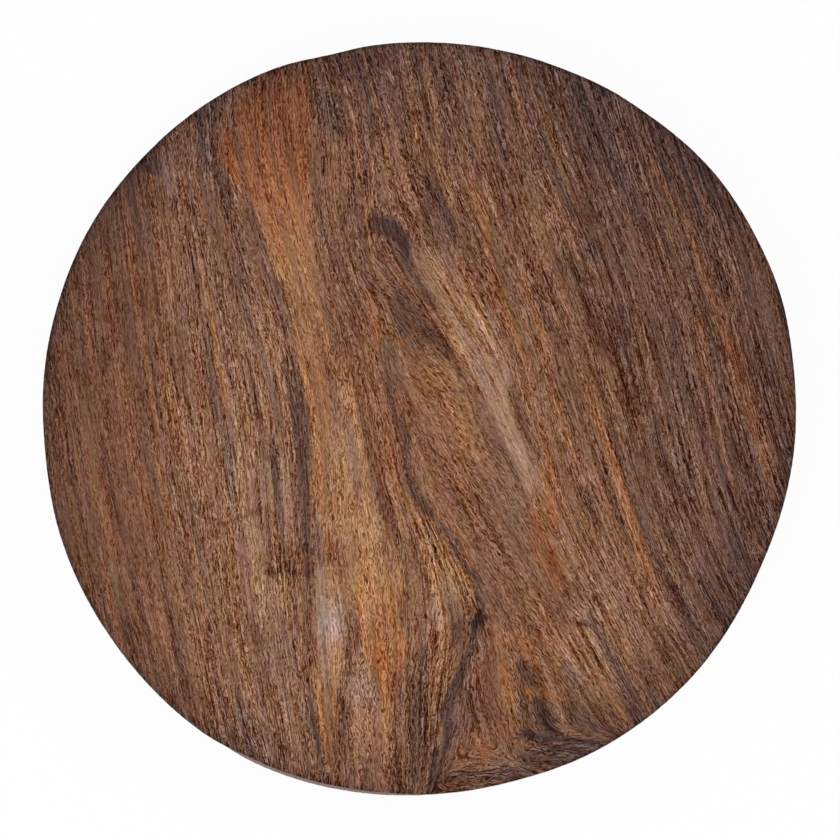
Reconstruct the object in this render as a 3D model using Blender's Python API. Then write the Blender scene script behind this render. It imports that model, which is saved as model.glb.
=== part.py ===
"""Round cutting board, sawn by hand from one slab of dark figured hardwood.

The board lies flat with its cutting face up along +Z. Its grain runs along Y. The origin is the
middle of the underside's bounding box. Bearings are in degrees, anticlockwise from +X as seen
from above.
"""

import math
from typing import NamedTuple

import bmesh
import bpy

MM = 0.001


class Wander(NamedTuple):
    """A stretch where the saw left the true circle."""

    bearing: float  # where it leaves the circle most
    reach: float  # how far it goes outwards there, or inwards where it is negative
    spread: float  # how soon it fades out on either side


# Slab
MEAN_DIAMETER = 340.0 * MM
THICKNESS = 25.0 * MM

# Edges eased with a block plane and abrasive, so that neither face has a sharp arris
FACE_ARRIS = 1.2 * MM
BASE_ARRIS = 2.0 * MM
ARRIS_STEPS = 4

# Outline: a circle followed by eye, with the flats and swells that the saw left in it
RIGHT_SHOULDER = Wander(bearing=19, reach=1.5 * MM, spread=9)
UPPER_RIGHT_SWELL = Wander(bearing=38, reach=2.7 * MM, spread=15)
UPPER_RIGHT_LIP = Wander(bearing=60, reach=0.5 * MM, spread=5)
TOP_FLAT = Wander(bearing=97, reach=-1.4 * MM, spread=22)
TOP_LEFT_CORNER = Wander(bearing=104, reach=-1.2 * MM, spread=5)
UPPER_LEFT_SWELL = Wander(bearing=120, reach=0.9 * MM, spread=23)
LEFT_LIP = Wander(bearing=150, reach=0.8 * MM, spread=11)
LEFT_FLAT = Wander(bearing=185, reach=-1.2 * MM, spread=10)
LOWER_LEFT_SWELL = Wander(bearing=243, reach=2.2 * MM, spread=21)
BOTTOM_FLAT = Wander(bearing=285, reach=-0.8 * MM, spread=8)
LOWER_RIGHT_FLAT = Wander(bearing=336, reach=-1.9 * MM, spread=15)
OUTLINE_WANDERS = (
    RIGHT_SHOULDER,
    UPPER_RIGHT_SWELL,
    UPPER_RIGHT_LIP,
    TOP_FLAT,
    TOP_LEFT_CORNER,
    UPPER_LEFT_SWELL,
    LEFT_LIP,
    LEFT_FLAT,
    LOWER_LEFT_SWELL,
    BOTTOM_FLAT,
    LOWER_RIGHT_FLAT,
)
OUTLINE_STEPS = 180

# Near the lower left the saw tipped, so the cut runs inside its line at the face and outside it
# at the underside, and the wall there leans out towards the underside
TIP_IN_AT_FACE = 1.4 * MM
TIP_OUT_AT_BASE = 1.0 * MM
TIP_STARTS = 235
TIP_FULL_FROM = 245
TIP_FULL_TO = 256
TIP_ENDS = 288

# Finish
WOOD_COLOUR = (0.198, 0.100, 0.056, 1.0)
WOOD_ROUGHNESS = 0.5
SMOOTH_BELOW = math.radians(30)


def clear_scene() -> None:
    """Remove every object that the scene starts with."""
    for obj in list(bpy.data.objects):
        bpy.data.objects.remove(obj, do_unlink=True)


def turn_between(first: float, second: float) -> float:
    """The signed turn from one bearing to another, from -180 to 180 degrees."""
    return (second - first + 180) % 360 - 180


def smooth_step(start: float, end: float, value: float) -> float:
    """0 up to start, 1 from end on, with an even S-shaped rise between them."""
    share = min(max((value - start) / (end - start), 0.0), 1.0)
    return share * share * (3 - 2 * share)


def saw_line(bearing: float) -> float:
    """Distance from the circle's centre to the line that the saw followed."""
    radius = MEAN_DIAMETER / 2
    for wander in OUTLINE_WANDERS:
        turn = turn_between(wander.bearing, bearing)
        radius += wander.reach * math.exp(-((turn / wander.spread) ** 2))
    return radius


def saw_tip(bearing: float) -> float:
    """How far the saw is tipped: 0 where the wall is square and 1 where it leans most."""
    rise = smooth_step(TIP_STARTS, TIP_FULL_FROM, bearing)
    fall = smooth_step(TIP_FULL_TO, TIP_ENDS, bearing)
    return rise * (1 - fall)


def face_radius(bearing: float) -> float:
    """Distance from the circle's centre to the outline of the cutting face."""
    return saw_line(bearing) - TIP_IN_AT_FACE * saw_tip(bearing)


def base_radius(bearing: float) -> float:
    """Distance from the circle's centre to the outline of the underside."""
    return saw_line(bearing) + TIP_OUT_AT_BASE * saw_tip(bearing)


def saw_outline(slab: bmesh.types.BMesh) -> None:
    """Bring each rim point of a plain disc to the sawn outline of its face."""
    for point in slab.verts:
        bearing = math.degrees(math.atan2(point.co.y, point.co.x)) % 360
        on_face = point.co.z > 0
        radius = face_radius(bearing) if on_face else base_radius(bearing)
        point.co.x = radius * math.cos(math.radians(bearing))
        point.co.y = radius * math.sin(math.radians(bearing))


def ease_edge(slab: bmesh.types.BMesh, height: float, width: float) -> None:
    """Round the edge that runs round the slab at this height."""
    rim = [
        edge
        for edge in slab.edges
        if all(math.isclose(point.co.z, height, abs_tol=MM / 100) for point in edge.verts)
    ]
    bmesh.ops.bevel(
        slab,
        geom=rim,
        offset=width,
        offset_type="OFFSET",
        segments=ARRIS_STEPS,
        profile=0.5,
        affect="EDGES",
        clamp_overlap=True,
    )


def stand_on_origin(slab: bmesh.types.BMesh) -> None:
    """Move the slab so that the middle of its underside's bounding box is the origin."""
    xs = [point.co.x for point in slab.verts]
    ys = [point.co.y for point in slab.verts]
    zs = [point.co.z for point in slab.verts]
    shift = (-(min(xs) + max(xs)) / 2, -(min(ys) + max(ys)) / 2, -min(zs))
    bmesh.ops.translate(slab, verts=slab.verts, vec=shift)


def slab_mesh() -> bpy.types.Mesh:
    """The slab: a disc brought to the sawn outline, with both of its edges eased."""
    slab = bmesh.new()
    bmesh.ops.create_cone(
        slab,
        cap_ends=True,
        cap_tris=False,
        segments=OUTLINE_STEPS,
        radius1=MEAN_DIAMETER / 2,
        radius2=MEAN_DIAMETER / 2,
        depth=THICKNESS,
    )
    saw_outline(slab)
    ease_edge(slab, THICKNESS / 2, FACE_ARRIS)
    ease_edge(slab, -THICKNESS / 2, BASE_ARRIS)
    stand_on_origin(slab)
    mesh = bpy.data.meshes.new("board_slab")
    slab.to_mesh(mesh)
    slab.free()
    mesh.shade_smooth()
    mesh.set_sharp_from_angle(angle=SMOOTH_BELOW)
    return mesh


def oiled_wood() -> bpy.types.Material:
    """Dark brown hardwood under a thin coat of oil."""
    material = bpy.data.materials.new("oiled_dark_hardwood")
    material.use_nodes = True
    shader = material.node_tree.nodes["Principled BSDF"]
    shader.inputs["Base Color"].default_value = WOOD_COLOUR
    shader.inputs["Roughness"].default_value = WOOD_ROUGHNESS
    shader.inputs["Metallic"].default_value = 0.0
    return material


def build() -> None:
    """Make the board in a collection of its own."""
    clear_scene()
    board = bpy.data.collections.new("round_cutting_board")
    bpy.context.scene.collection.children.link(board)
    mesh = slab_mesh()
    mesh.materials.append(oiled_wood())
    board.objects.link(bpy.data.objects.new("board_slab", mesh))


build()
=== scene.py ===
"""Round cutting board, sawn by hand from one slab of dark figured hardwood.

The board lies on a plain white floor and is seen from straight above. Lengths are in metres. The
figure of the wood is laid out in millimetres on the cutting face, with X to the right and Y up.
"""

import logging
import math
from dataclasses import dataclass
from enum import Enum
from typing import Callable, NamedTuple, Optional, Union

import bpy
import numpy as np
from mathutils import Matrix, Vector


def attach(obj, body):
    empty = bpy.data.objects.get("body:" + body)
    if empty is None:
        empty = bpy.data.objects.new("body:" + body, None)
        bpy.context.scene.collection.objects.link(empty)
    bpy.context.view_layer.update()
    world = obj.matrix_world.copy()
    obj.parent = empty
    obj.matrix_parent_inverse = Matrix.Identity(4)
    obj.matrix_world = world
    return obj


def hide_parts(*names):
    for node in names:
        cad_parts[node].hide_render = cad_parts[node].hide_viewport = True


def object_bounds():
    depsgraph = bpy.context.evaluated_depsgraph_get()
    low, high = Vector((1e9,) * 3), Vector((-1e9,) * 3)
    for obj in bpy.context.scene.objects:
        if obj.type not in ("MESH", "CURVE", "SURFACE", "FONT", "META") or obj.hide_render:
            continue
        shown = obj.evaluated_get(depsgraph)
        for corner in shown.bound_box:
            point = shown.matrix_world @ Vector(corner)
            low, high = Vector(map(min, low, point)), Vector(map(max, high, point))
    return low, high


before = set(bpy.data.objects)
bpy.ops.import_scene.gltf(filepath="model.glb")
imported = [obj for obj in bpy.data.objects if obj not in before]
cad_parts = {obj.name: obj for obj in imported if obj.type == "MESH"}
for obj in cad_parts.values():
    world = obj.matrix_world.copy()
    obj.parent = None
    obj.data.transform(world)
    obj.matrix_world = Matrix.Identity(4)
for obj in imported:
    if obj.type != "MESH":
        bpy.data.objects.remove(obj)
cad_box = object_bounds()

LOG = logging.getLogger("cutting_board")
MM = 0.001

NUMBER = "NodeSocketFloat"
COLOUR = "NodeSocketColor"

Point = tuple[float, float]
Path = tuple[Point, ...]
Spread = tuple[float, ...]
Array = np.ndarray
Tree = bpy.types.NodeTree
Socket = bpy.types.NodeSocket
Source = Union[str, float, tuple[float, ...], Socket]  # what an input takes: a value or a link


class Channel(Enum):
    """What the figure of the wood varies over the board."""

    LIGHT = "light"  # brightness of the colour, on a scale of 0 to 255
    WARMTH = "warmth"  # from -2, greyish, through 0, brown, to 1.5, orange
    GRAIN = "grain"  # strength of the fine grain
    CURL = "curl"  # how far the fine grain wavers
    LONG = "long"  # 0 where the grain is short dashes, 1 where it is long lines


class Zone(NamedTuple):
    """A stretch of wood of one kind, which takes the place of what is under it.

    Each row is (y, left x, right x, light, warmth), from the top down. The fades tell how gently the
    zone begins and ends: at its left, at its right, and at its top and bottom.
    """

    rows: tuple[tuple[float, float, float, float, float], ...]
    fades: tuple[float, float, float]
    grain: Optional[float] = None
    curl: Optional[float] = None
    long: Optional[float] = None


class Streak(NamedTuple):
    """A line or patch that is lighter, darker, warmer or greyer than what is round it."""

    path: Path
    reach: Spread  # half its width, from its first point to its last
    light: float = 0.0
    warmth: float = 0.0
    grain: float = 0.0
    curl: float = 0.0
    fade: float = 0.6  # share of the half width over which it fades out


class Inlay(NamedTuple):
    """A thin line with a crisp, ragged edge: a dark vein or a pale thread."""

    path: Path
    reach: Spread
    strength: float


def smooth_step(start: float, end: float, value: Array) -> Array:
    """0 up to start, 1 from end on, with an even S-shaped rise between them."""
    share = np.clip((value - start) / (end - start), 0.0, 1.0)
    return share * share * (3 - 2 * share)


def wander(across: Array, along: Array, seed: int) -> Array:
    """Smooth noise from -1 to 1 over a plane.

    Args:
        across: first coordinate, with a new random value at each whole number.
        along: second coordinate, likewise.
        seed: which noise to give.

    Returns:
        The noise at each place.
    """
    side = 512
    lattice = np.random.default_rng(seed).uniform(-1.0, 1.0, (side, side))
    column = np.floor(across).astype(int)
    row = np.floor(along).astype(int)
    across_share = smooth_step(0.0, 1.0, across - column)
    along_share = smooth_step(0.0, 1.0, along - row)
    near = lattice[column % side, row % side] * (1 - across_share)
    near += lattice[(column + 1) % side, row % side] * across_share
    far = lattice[column % side, (row + 1) % side] * (1 - across_share)
    far += lattice[(column + 1) % side, (row + 1) % side] * across_share
    return near * (1 - along_share) + far * along_share


def curve_place(before: Array, start: Array, end: Array, after: Array, share: Union[float, Array]) -> Array:
    """Find a place on the smooth curve from one point to the next.

    Args:
        before: the point before them.
        start: the first of the two.
        end: the second.
        after: the point after them.
        share: how far the place is from the first to the second, from 0 to 1.

    Returns:
        The place.
    """
    return 0.5 * (
        2 * start
        + (end - before) * share
        + (2 * before - 5 * start + 4 * end - after) * share**2
        + (3 * start - before - 3 * end + after) * share**3
    )


def smooth_path(path: Path, steps: int = 5) -> Array:
    """A curve through the given points.

    Args:
        path: the points, in order.
        steps: how many pieces each stretch between two points becomes.

    Returns:
        Points of the curve, one row each.
    """
    given = np.array(path, dtype=float)
    padded = np.vstack([2 * given[0] - given[1], given, 2 * given[-1] - given[-2]])
    curve = []
    for index in range(len(given) - 1):
        for step in range(steps):
            curve.append(curve_place(*padded[index : index + 4], step / steps))
    curve.append(given[-1])
    return np.array(curve)


def measure_from(path: Path, reach: Spread, x: Array, y: Array) -> tuple[Array, Array]:
    """How far each place lies from a curve, and how wide the curve is there.

    Args:
        path: the points that the curve goes through.
        reach: its half widths, from its first point to its last.
        x, y: where the places are.

    Returns:
        The distance to the curve, and its half width at the nearest point.
    """
    curve = smooth_path(path)
    lengths = np.hypot(*np.diff(curve, axis=0).T)
    run = np.concatenate([[0.0], np.cumsum(lengths)])
    nearest = np.full(x.shape, np.inf)
    place = np.zeros(x.shape)
    for index, length in enumerate(lengths):
        start, end = curve[index], curve[index + 1]
        step = (end - start) / length
        ahead = np.clip((x - start[0]) * step[0] + (y - start[1]) * step[1], 0.0, length)
        gap = np.hypot(x - start[0] - ahead * step[0], y - start[1] - ahead * step[1])
        closer = gap < nearest
        nearest = np.where(closer, gap, nearest)
        place = np.where(closer, run[index] + ahead, place)
    widths = np.interp(place / run[-1], np.linspace(0.0, 1.0, len(reach)), reach)
    return nearest, widths


# The way the grain runs, as lines along it
GRAIN_LINES: tuple[Path, ...] = (
    ((-163, 0), (-159, -30), (-154, -55), (-149, -80), (-143, -100)),
    ((-155, 70), (-150, 30), (-144, 0), (-139, -25), (-134, -50), (-129, -75), (-123, -100)),
    ((-132, 100), (-128, 60), (-124, 20), (-121, 0), (-116, -30), (-108, -65), (-101, -95), (-94, -125)),
    ((-108, 110), (-104, 80), (-98, 20), (-95, 0), (-92, -30), (-84, -95), (-78, -130), (-72, -150)),
    ((-95, 135), (-94, 110), (-90, 85), (-79, 30), (-72, -10), (-68, -60), (-66, -90), (-56, -155)),
    ((-85, 110), (-78, 85), (-70, 65), (-57, 25), (-51, -15), (-50, -70), (-49, -100), (-43, -155)),
    ((-82, 140), (-80, 120), (-73, 95), (-64, 72), (-51, 25), (-45, -20), (-42, -80), (-40, -135)),
    (
        (-66, 150), (-65, 120), (-58, 90), (-50, 58), (-46, 40), (-43, 20), (-40, 4), (-39, -12),
        (-38, -30), (-36, -48), (-34, -66), (-31, -84), (-28, -104), (-27, -150),
    ),
    (
        (-50, 155), (-49, 120), (-49, 98), (-43, 64), (-36, 47), (-32, 31), (-29, 15), (-27, -2),
        (-25, -18), (-23, -34), (-20, -50), (-18, -66), (-16, -84), (-15, -110), (-12, -160),
    ),
    (
        (-34, 80), (-29, 62), (-22, 46), (-17, 31), (-14, 18), (-11, 3), (-8, -12), (-6, -28), (-2, -42),
        (1, -56), (2, -70), (1, -85), (0, -100), (-2, -120), (-3, -150),
    ),
    ((-42, 160), (-36, 146), (-32, 132), (-30, 118), (-29, 104), (-27, 92)),
    (
        (-16, 162), (-11, 145), (-7, 131), (-4, 118), (2, 105), (9, 92), (15, 79), (22, 64), (31, 49),
        (38, 36), (45, 20), (48, 4),
    ),
    (
        (3, 165), (7, 145), (11, 128), (15, 112), (21, 96), (28, 80), (36, 62), (43, 44), (49, 28),
        (52, 10),
    ),
    ((20, 165), (30, 125), (36, 105), (50, 62), (58, 40), (65, 18), (72, 0)),
    ((40, 163), (51, 125), (67, 85), (74, 65), (81, 45), (91, 10), (95, -5)),
    ((60, 155), (73, 115), (88, 75), (94, 55), (103, 15), (107, -5)),
    ((88, 140), (99, 100), (106, 80), (118, 40), (127, 0)),
    ((105, 125), (117, 92), (124, 72), (137, 32), (148, -5), (160, -38)),
    ((130, 110), (142, 75), (152, 35), (162, -5)),
    (
        (-12, 48), (-2, 33), (10, 20), (24, 7), (34, -6), (46, -21), (52, -35), (60, -50), (68, -65),
        (79, -82), (88, -98),
    ),
    (
        (-15, 20), (-8, 8), (-2, -3), (8, -17), (19, -31), (29, -45), (41, -60), (52, -75), (63, -90),
        (74, -106), (84, -121),
    ),
    ((8, -34), (17, -47), (30, -60), (42, -75), (53, -90), (63, -104), (73, -118), (82, -132)),
    (
        (-3, 75), (5, 62), (15, 48), (27, 33), (35, 19), (42, 4), (50, -12), (56, -26), (63, -40),
        (70, -55), (79, -71), (89, -88), (98, -108), (106, -126),
    ),
    ((-22, 64), (-12, 56), (-2, 45), (10, 33), (22, 19), (31, 7), (40, -8)),
    ((-3, 22), (8, 11), (20, -4), (31, -18), (42, -31), (52, -46)),
    ((5, -44), (11, -57), (16, -70), (20, -84), (21, -96), (18, -110), (14, -124), (12, -140), (9, -156)),
    ((15, -52), (23, -66), (30, -80), (36, -94), (41, -110), (46, -126), (52, -142)),
    ((28, -68), (37, -81), (46, -95), (55, -109), (63, -122), (70, -136)),
    ((30, -104), (33, -120), (38, -136), (42, -150)),
    ((52, 0), (57, -20), (62, -40), (78, -75), (97, -110), (106, -125)),
    ((78, 5), (88, -25), (98, -55), (110, -85), (118, -98)),
    ((95, -5), (104, -38), (118, -72), (132, -100)),
    ((110, -5), (114, -25), (127, -65), (135, -82)),
    ((128, 0), (132, -20), (145, -60), (150, -72)),
    ((148, -5), (152, -20), (157, -38)),
    ((46, -147), (60, -148), (80, -148)),
    ((15, -160), (40, -158)),
)

# How much darker the face is towards its rim, by distance from the middle
RIM_SHADE = ((0, 0), (120, 0), (142, -2), (150, -4), (156, -7), (162, -11), (166, -17), (170, -25))

# The wood where there is no zone
BASE = {
    Channel.LIGHT: 97.0,
    Channel.WARMTH: 0.1,
    Channel.GRAIN: 1.0,
    Channel.CURL: 0.35,
    Channel.LONG: 0.5,
}

LEFT_FIELD = Zone(
    rows=(
        (125, -150, -122, 80, -0.1), (90, -170, -120, 84, 0.0), (60, -175, -116, 87, 0.2),
        (20, -175, -116, 87, 0.35), (-20, -175, -118, 90, 0.3), (-60, -175, -116, 92, 0.3),
        (-100, -165, -104, 96, 0.2), (-140, -150, -84, 97, 0.1),
    ),
    fades=(4, 14, 14), grain=0.68, curl=0.3, long=0.45,
)
MIDDLE_LEFT = Zone(
    rows=(
        (80, -112, -70, 97, -0.1), (50, -110, -62, 100, -0.2), (25, -110, -58, 102, -0.05),
        (0, -110, -56, 105, -0.15), (-25, -108, -56, 107, -0.2), (-50, -106, -54, 103, -0.15),
        (-80, -102, -53, 105, -0.1), (-110, -98, -52, 105, -0.1), (-140, -92, -48, 102, -0.1),
        (-160, -84, -44, 100, 0.0),
    ),
    fades=(12, 4, 14), grain=1.12, curl=0.3, long=0.6,
)
UPPER_MIDDLE = Zone(
    rows=(
        (170, -48, 60, 83, -0.4), (140, -46, 60, 90, -0.2), (120, -47, 56, 88, 0.1),
        (100, -46, 50, 92, 0.2), (80, -42, 46, 92, 0.1), (60, -40, 40, 94, 0.2),
    ),
    fades=(3, 14, 14), grain=1.02, curl=0.5, long=0.5,
)
UPPER_RIGHT = Zone(
    rows=(
        (160, 48, 130, 84, -0.6), (130, 56, 130, 79, -0.4), (100, 62, 140, 80, -0.3),
        (70, 68, 150, 81, -0.2), (40, 74, 160, 80, -0.2), (10, 85, 165, 80, -0.2),
        (-20, 96, 168, 83, -0.3), (-50, 105, 165, 85, -0.35), (-80, 114, 160, 84, -0.4),
        (-110, 114, 150, 87, -0.2),
    ),
    fades=(14, 4, 12), grain=0.88, curl=0.5, long=0.85,
)
CENTRE_FIELD = Zone(
    rows=(
        (40, -18, 20, 98, 0.1), (15, -16, 30, 98, 0.4), (-10, -10, 40, 98, 0.25),
        (-40, -4, 52, 98, 0.15), (-70, 18, 62, 99, 0.15), (-100, 30, 70, 93, 0.4),
        (-130, 20, 76, 86, 0.4),
    ),
    fades=(5, 8, 12), grain=0.9, curl=0.2, long=0.45,
)
HEART_BAND = Zone(
    rows=(
        (160, -62, -50, 78, 0.7), (150, -76, -50, 88, 1.1), (140, -82, -49, 94, 1.3),
        (130, -84, -49.5, 94, 1.2), (124, -90, -50, 92, 1.15), (115, -90, -50, 97, 1.1),
        (106, -80, -49.5, 104, 1.05), (95, -74, -49, 109, 0.9), (85, -71, -48, 115, 0.65),
        (70, -67, -46, 121, 0.3), (62, -60, -45, 118, 0.2), (50, -57, -43, 112, 0.3),
        (38, -56, -41, 115, 0.4), (25, -53, -40, 114, 0.5), (10, -50, -38, 116, 0.6),
        (-10, -49, -36, 121, 0.3), (-30, -47, -35, 118, 0.3), (-50, -46, -35, 116, 0.2),
        (-64, -45, -36, 106, 0.3),
    ),
    fades=(1.6, 1.6, 5), grain=0.8, curl=0.4, long=0.4,
)
GOLDEN_FLAME = Zone(
    rows=(
        (34, -40, -36, 98, 0.2), (20, -41, -31, 108, 0.1), (10, -40, -29, 118, 0.0),
        (0, -41, -27, 119, -0.1), (-10, -41, -25.5, 124, -0.3), (-20, -41, -24, 126, -0.2),
        (-30, -41, -21.5, 121, 0.0), (-40, -40, -18.5, 130, 0.1), (-50, -40, -15, 134, -0.2),
        (-60, -36, -11, 124, 0.0), (-68, -35, -9, 129, 0.0), (-76, -34, -7, 129, 0.4),
        (-85, -31, -9, 123, 0.6), (-92, -28, -9, 123, 0.6), (-98, -28, -7, 117, 0.75),
        (-104, -27, -7, 122, 0.9), (-111, -24, -8, 115, 1.25), (-116.5, -22, -9, 104, 1.2),
        (-124, -19, -9.5, 105, 1.0), (-133, -17, -10.5, 107, 0.6), (-150, -14, -10, 101, 0.4),
        (-164, -13, -9, 92, 0.1),
    ),
    fades=(3, 2, 6), grain=1.0, curl=0.45, long=0.3,
)
PALE_HAZE = Zone(
    rows=(
        (-64, -46, -40, 116, -0.3), (-68, -46, -37, 128, -0.5), (-76, -47, -35, 134, -0.8),
        (-84, -46, -33.5, 138, -1.2), (-90, -46, -33.5, 144, -1.6), (-97, -46, -33, 142, -1.4),
        (-104, -46, -34, 132, -0.7), (-111, -47, -34.5, 129, -0.7), (-118, -47, -34.5, 124, -0.4),
        (-125, -46.5, -37, 114, 0.1), (-132, -45, -37, 109, 0.3), (-139, -43, -38, 100, 0.8),
        (-147, -43, -37, 92, 0.7), (-156, -42, -36, 90, 0.3),
    ),
    fades=(2.5, 2.2, 4), grain=0.75, curl=0.25, long=0.5,
)
PALE_FEATHER = Zone(
    rows=(
        (-104, -28, -24, 122, 0.3), (-110, -30, -23, 134, -0.6), (-118, -31, -20, 133, -0.9),
        (-126, -31.5, -18, 129, -0.7), (-134, -31.5, -14, 124, 0.0), (-141, -31, -13, 114, 0.1),
        (-148, -31, -13, 106, 0.2), (-160, -30, -14, 96, -0.2),
    ),
    fades=(1.6, 2, 3), grain=1.1, curl=0.9, long=0.1,
)
CROSS_PATCH = Zone(
    rows=(
        (-56, -67, -49, 92, 0.3), (-58.5, -68, -49, 84, 0.5), (-61.5, -70, -49, 88, 0.45),
        (-64, -70.5, -48.5, 86, 0.4), (-66.5, -70, -48, 77, 0.5), (-69.5, -70, -48, 72, 0.5),
        (-71, -68, -49, 84, 0.4),
    ),
    fades=(0.8, 1.0, 0.8),
)
GOLDEN_BESIDE_VEIN = Zone(
    rows=(
        (-44, -4, 5, 107, 0.1), (-52, -2, 9, 103, 0.2), (-58, 0, 12, 110, 0.2),
        (-64, 2, 16, 113, 0.3), (-70, 2, 20, 115, 0.3), (-76, 2, 23, 115, 0.0),
        (-82, 2, 24, 113, 0.1), (-88, 4, 21, 104, 0.1), (-94, 5, 14, 103, 0.4),
        (-102, 7, 18, 98, 0.5), (-110, 8, 18, 100, 0.5), (-118, 5, 14, 96, 0.5),
        (-126, 4, 10, 95, 0.4), (-140, 2, 10, 90, 0.3), (-150, 2, 9, 82, -0.2),
    ),
    fades=(4, 1.5, 6), grain=1.15, curl=0.35, long=0.9,
)
PALE_SWEEP = Zone(
    rows=(
        (76, -2, 10, 104, -0.2), (68, -2, 13, 111, -0.2), (60, 4, 19, 111, -0.1),
        (52, 9, 26, 118, -0.2), (44, 13, 31, 128, -0.5), (36, 14, 35.5, 130, -0.7),
        (28, 21, 40, 132, -0.9), (20, 25, 40.5, 132, -1.05), (12, 28.5, 39.5, 135, -0.95),
        (4, 30.5, 41.5, 131, -0.8), (-4, 33, 44, 128, -0.8), (-12, 38, 49, 134, -1.1),
        (-20, 41, 53, 129, -0.9), (-28, 45, 56, 130, -0.95), (-36, 48, 60, 112, -0.2),
        (-44, 53, 63, 108, 0.5),
    ),
    fades=(2.5, 2, 5), grain=0.9, curl=0.2, long=0.7,
)
LOWER_RIGHT = Zone(
    rows=(
        (-45, 60, 84, 106, 0.1), (-60, 68, 90, 104, 0.0), (-80, 76, 96, 110, -0.6),
        (-100, 62, 104, 109, -0.1), (-120, 66, 96, 107, 0.0), (-136, 76, 96, 88, 0.3),
    ),
    fades=(6, 8, 8), grain=1.0, curl=0.35, long=0.75,
)
VEIN_SHADE = Zone(
    rows=(
        (20, -15.5, -12, 90, 0.0), (10, -15.5, -11, 84, -0.15), (2, -13.5, -8.5, 78, -0.05),
        (-4, -12, -6, 77, -0.05), (-9, -9.2, -5, 69, -0.05), (-14, -9, -5, 72, -0.25),
        (-20, -7.6, -4.4, 67, -0.15), (-26, -6, -2, 71, -0.15), (-32, -5, -0.5, 70, -0.35),
        (-38, -2, 4.6, 74, -0.45), (-42, 1.4, 7, 71, -0.45), (-44, 5.4, 8.8, 79, -0.05),
        (-46, 7.6, 10.4, 87, -0.05), (-48, 9.2, 12.6, 77, -0.35), (-50.4, 9.4, 13, 66, -0.55),
        (-52.4, 12.6, 16.6, 83, -0.65), (-56, 13.6, 17.4, 72, -0.65), (-60, 14, 18.6, 76, -0.45),
        (-64, 16, 20, 75, -0.25), (-68, 20.5, 24.5, 75, 0.05), (-72, 23.6, 27.5, 75, -0.15),
        (-76, 25, 28.4, 79, -0.55), (-80, 25.8, 29.4, 75, -0.55), (-84, 26.6, 30, 73, -0.35),
        (-86.5, 27, 30.6, 74, 0.2), (-88, 25.4, 31.4, 66, 0.4), (-90, 23.4, 31, 58, 0.1),
        (-93, 22.8, 27.4, 54, -0.3), (-98, 22.8, 26.8, 66, -0.3), (-104, 21.6, 26.6, 74, -0.6),
        (-110, 19, 23, 74, -0.4), (-116, 16.3, 20.6, 70, -0.7), (-122, 12.8, 18, 68, -0.5),
        (-128, 10.6, 15, 63, -0.6), (-134, 9.2, 15, 64, -0.9), (-140, 10.8, 15.2, 66, -1.0),
        (-146, 9.4, 13.6, 67, -0.8), (-152, 5, 10, 72, -0.7), (-158, 4.6, 9, 74, -0.9),
        (-165, 4, 9, 70, -0.9),
    ),
    fades=(0.6, 1.5, 3), grain=0.8,
)
KNOT = Zone(
    rows=(
        (95.6, -21, -20, 74, -0.7), (93, -21.8, -19.4, 68, -0.7), (90.8, -22.2, -17.4, 67, -0.8),
        (89.4, -22.4, -11.6, 66, -0.8), (88.2, -22.6, -9.8, 66, -0.7), (86.6, -23.2, -8.6, 66, -0.6),
        (85.3, -23.8, -7.3, 65, -0.5), (83.5, -19.5, -6.2, 66, -0.3), (81.5, -14, -5.2, 66, -0.3),
        (79, -10.5, -4.6, 62, -0.5), (76, -9.3, -4.6, 65, -0.5), (72, -9, -4.8, 74, -0.4),
        (68, -8.8, -4.3, 78, -0.3), (64, -8, -2, 83, -0.3), (60, -3.5, 2.5, 86, -0.4),
        (56, 0, 5, 80, -0.2), (52, 3, 8, 90, -0.1),
    ),
    fades=(0.8, 0.5, 1.0), grain=0.6,
)
ZONES = (
    LEFT_FIELD, MIDDLE_LEFT, UPPER_MIDDLE, UPPER_RIGHT, CENTRE_FIELD,
    LOWER_RIGHT, HEART_BAND, GOLDEN_FLAME, PALE_HAZE, PALE_FEATHER,
    CROSS_PATCH, GOLDEN_BESIDE_VEIN, PALE_SWEEP, VEIN_SHADE, KNOT,
)

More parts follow.
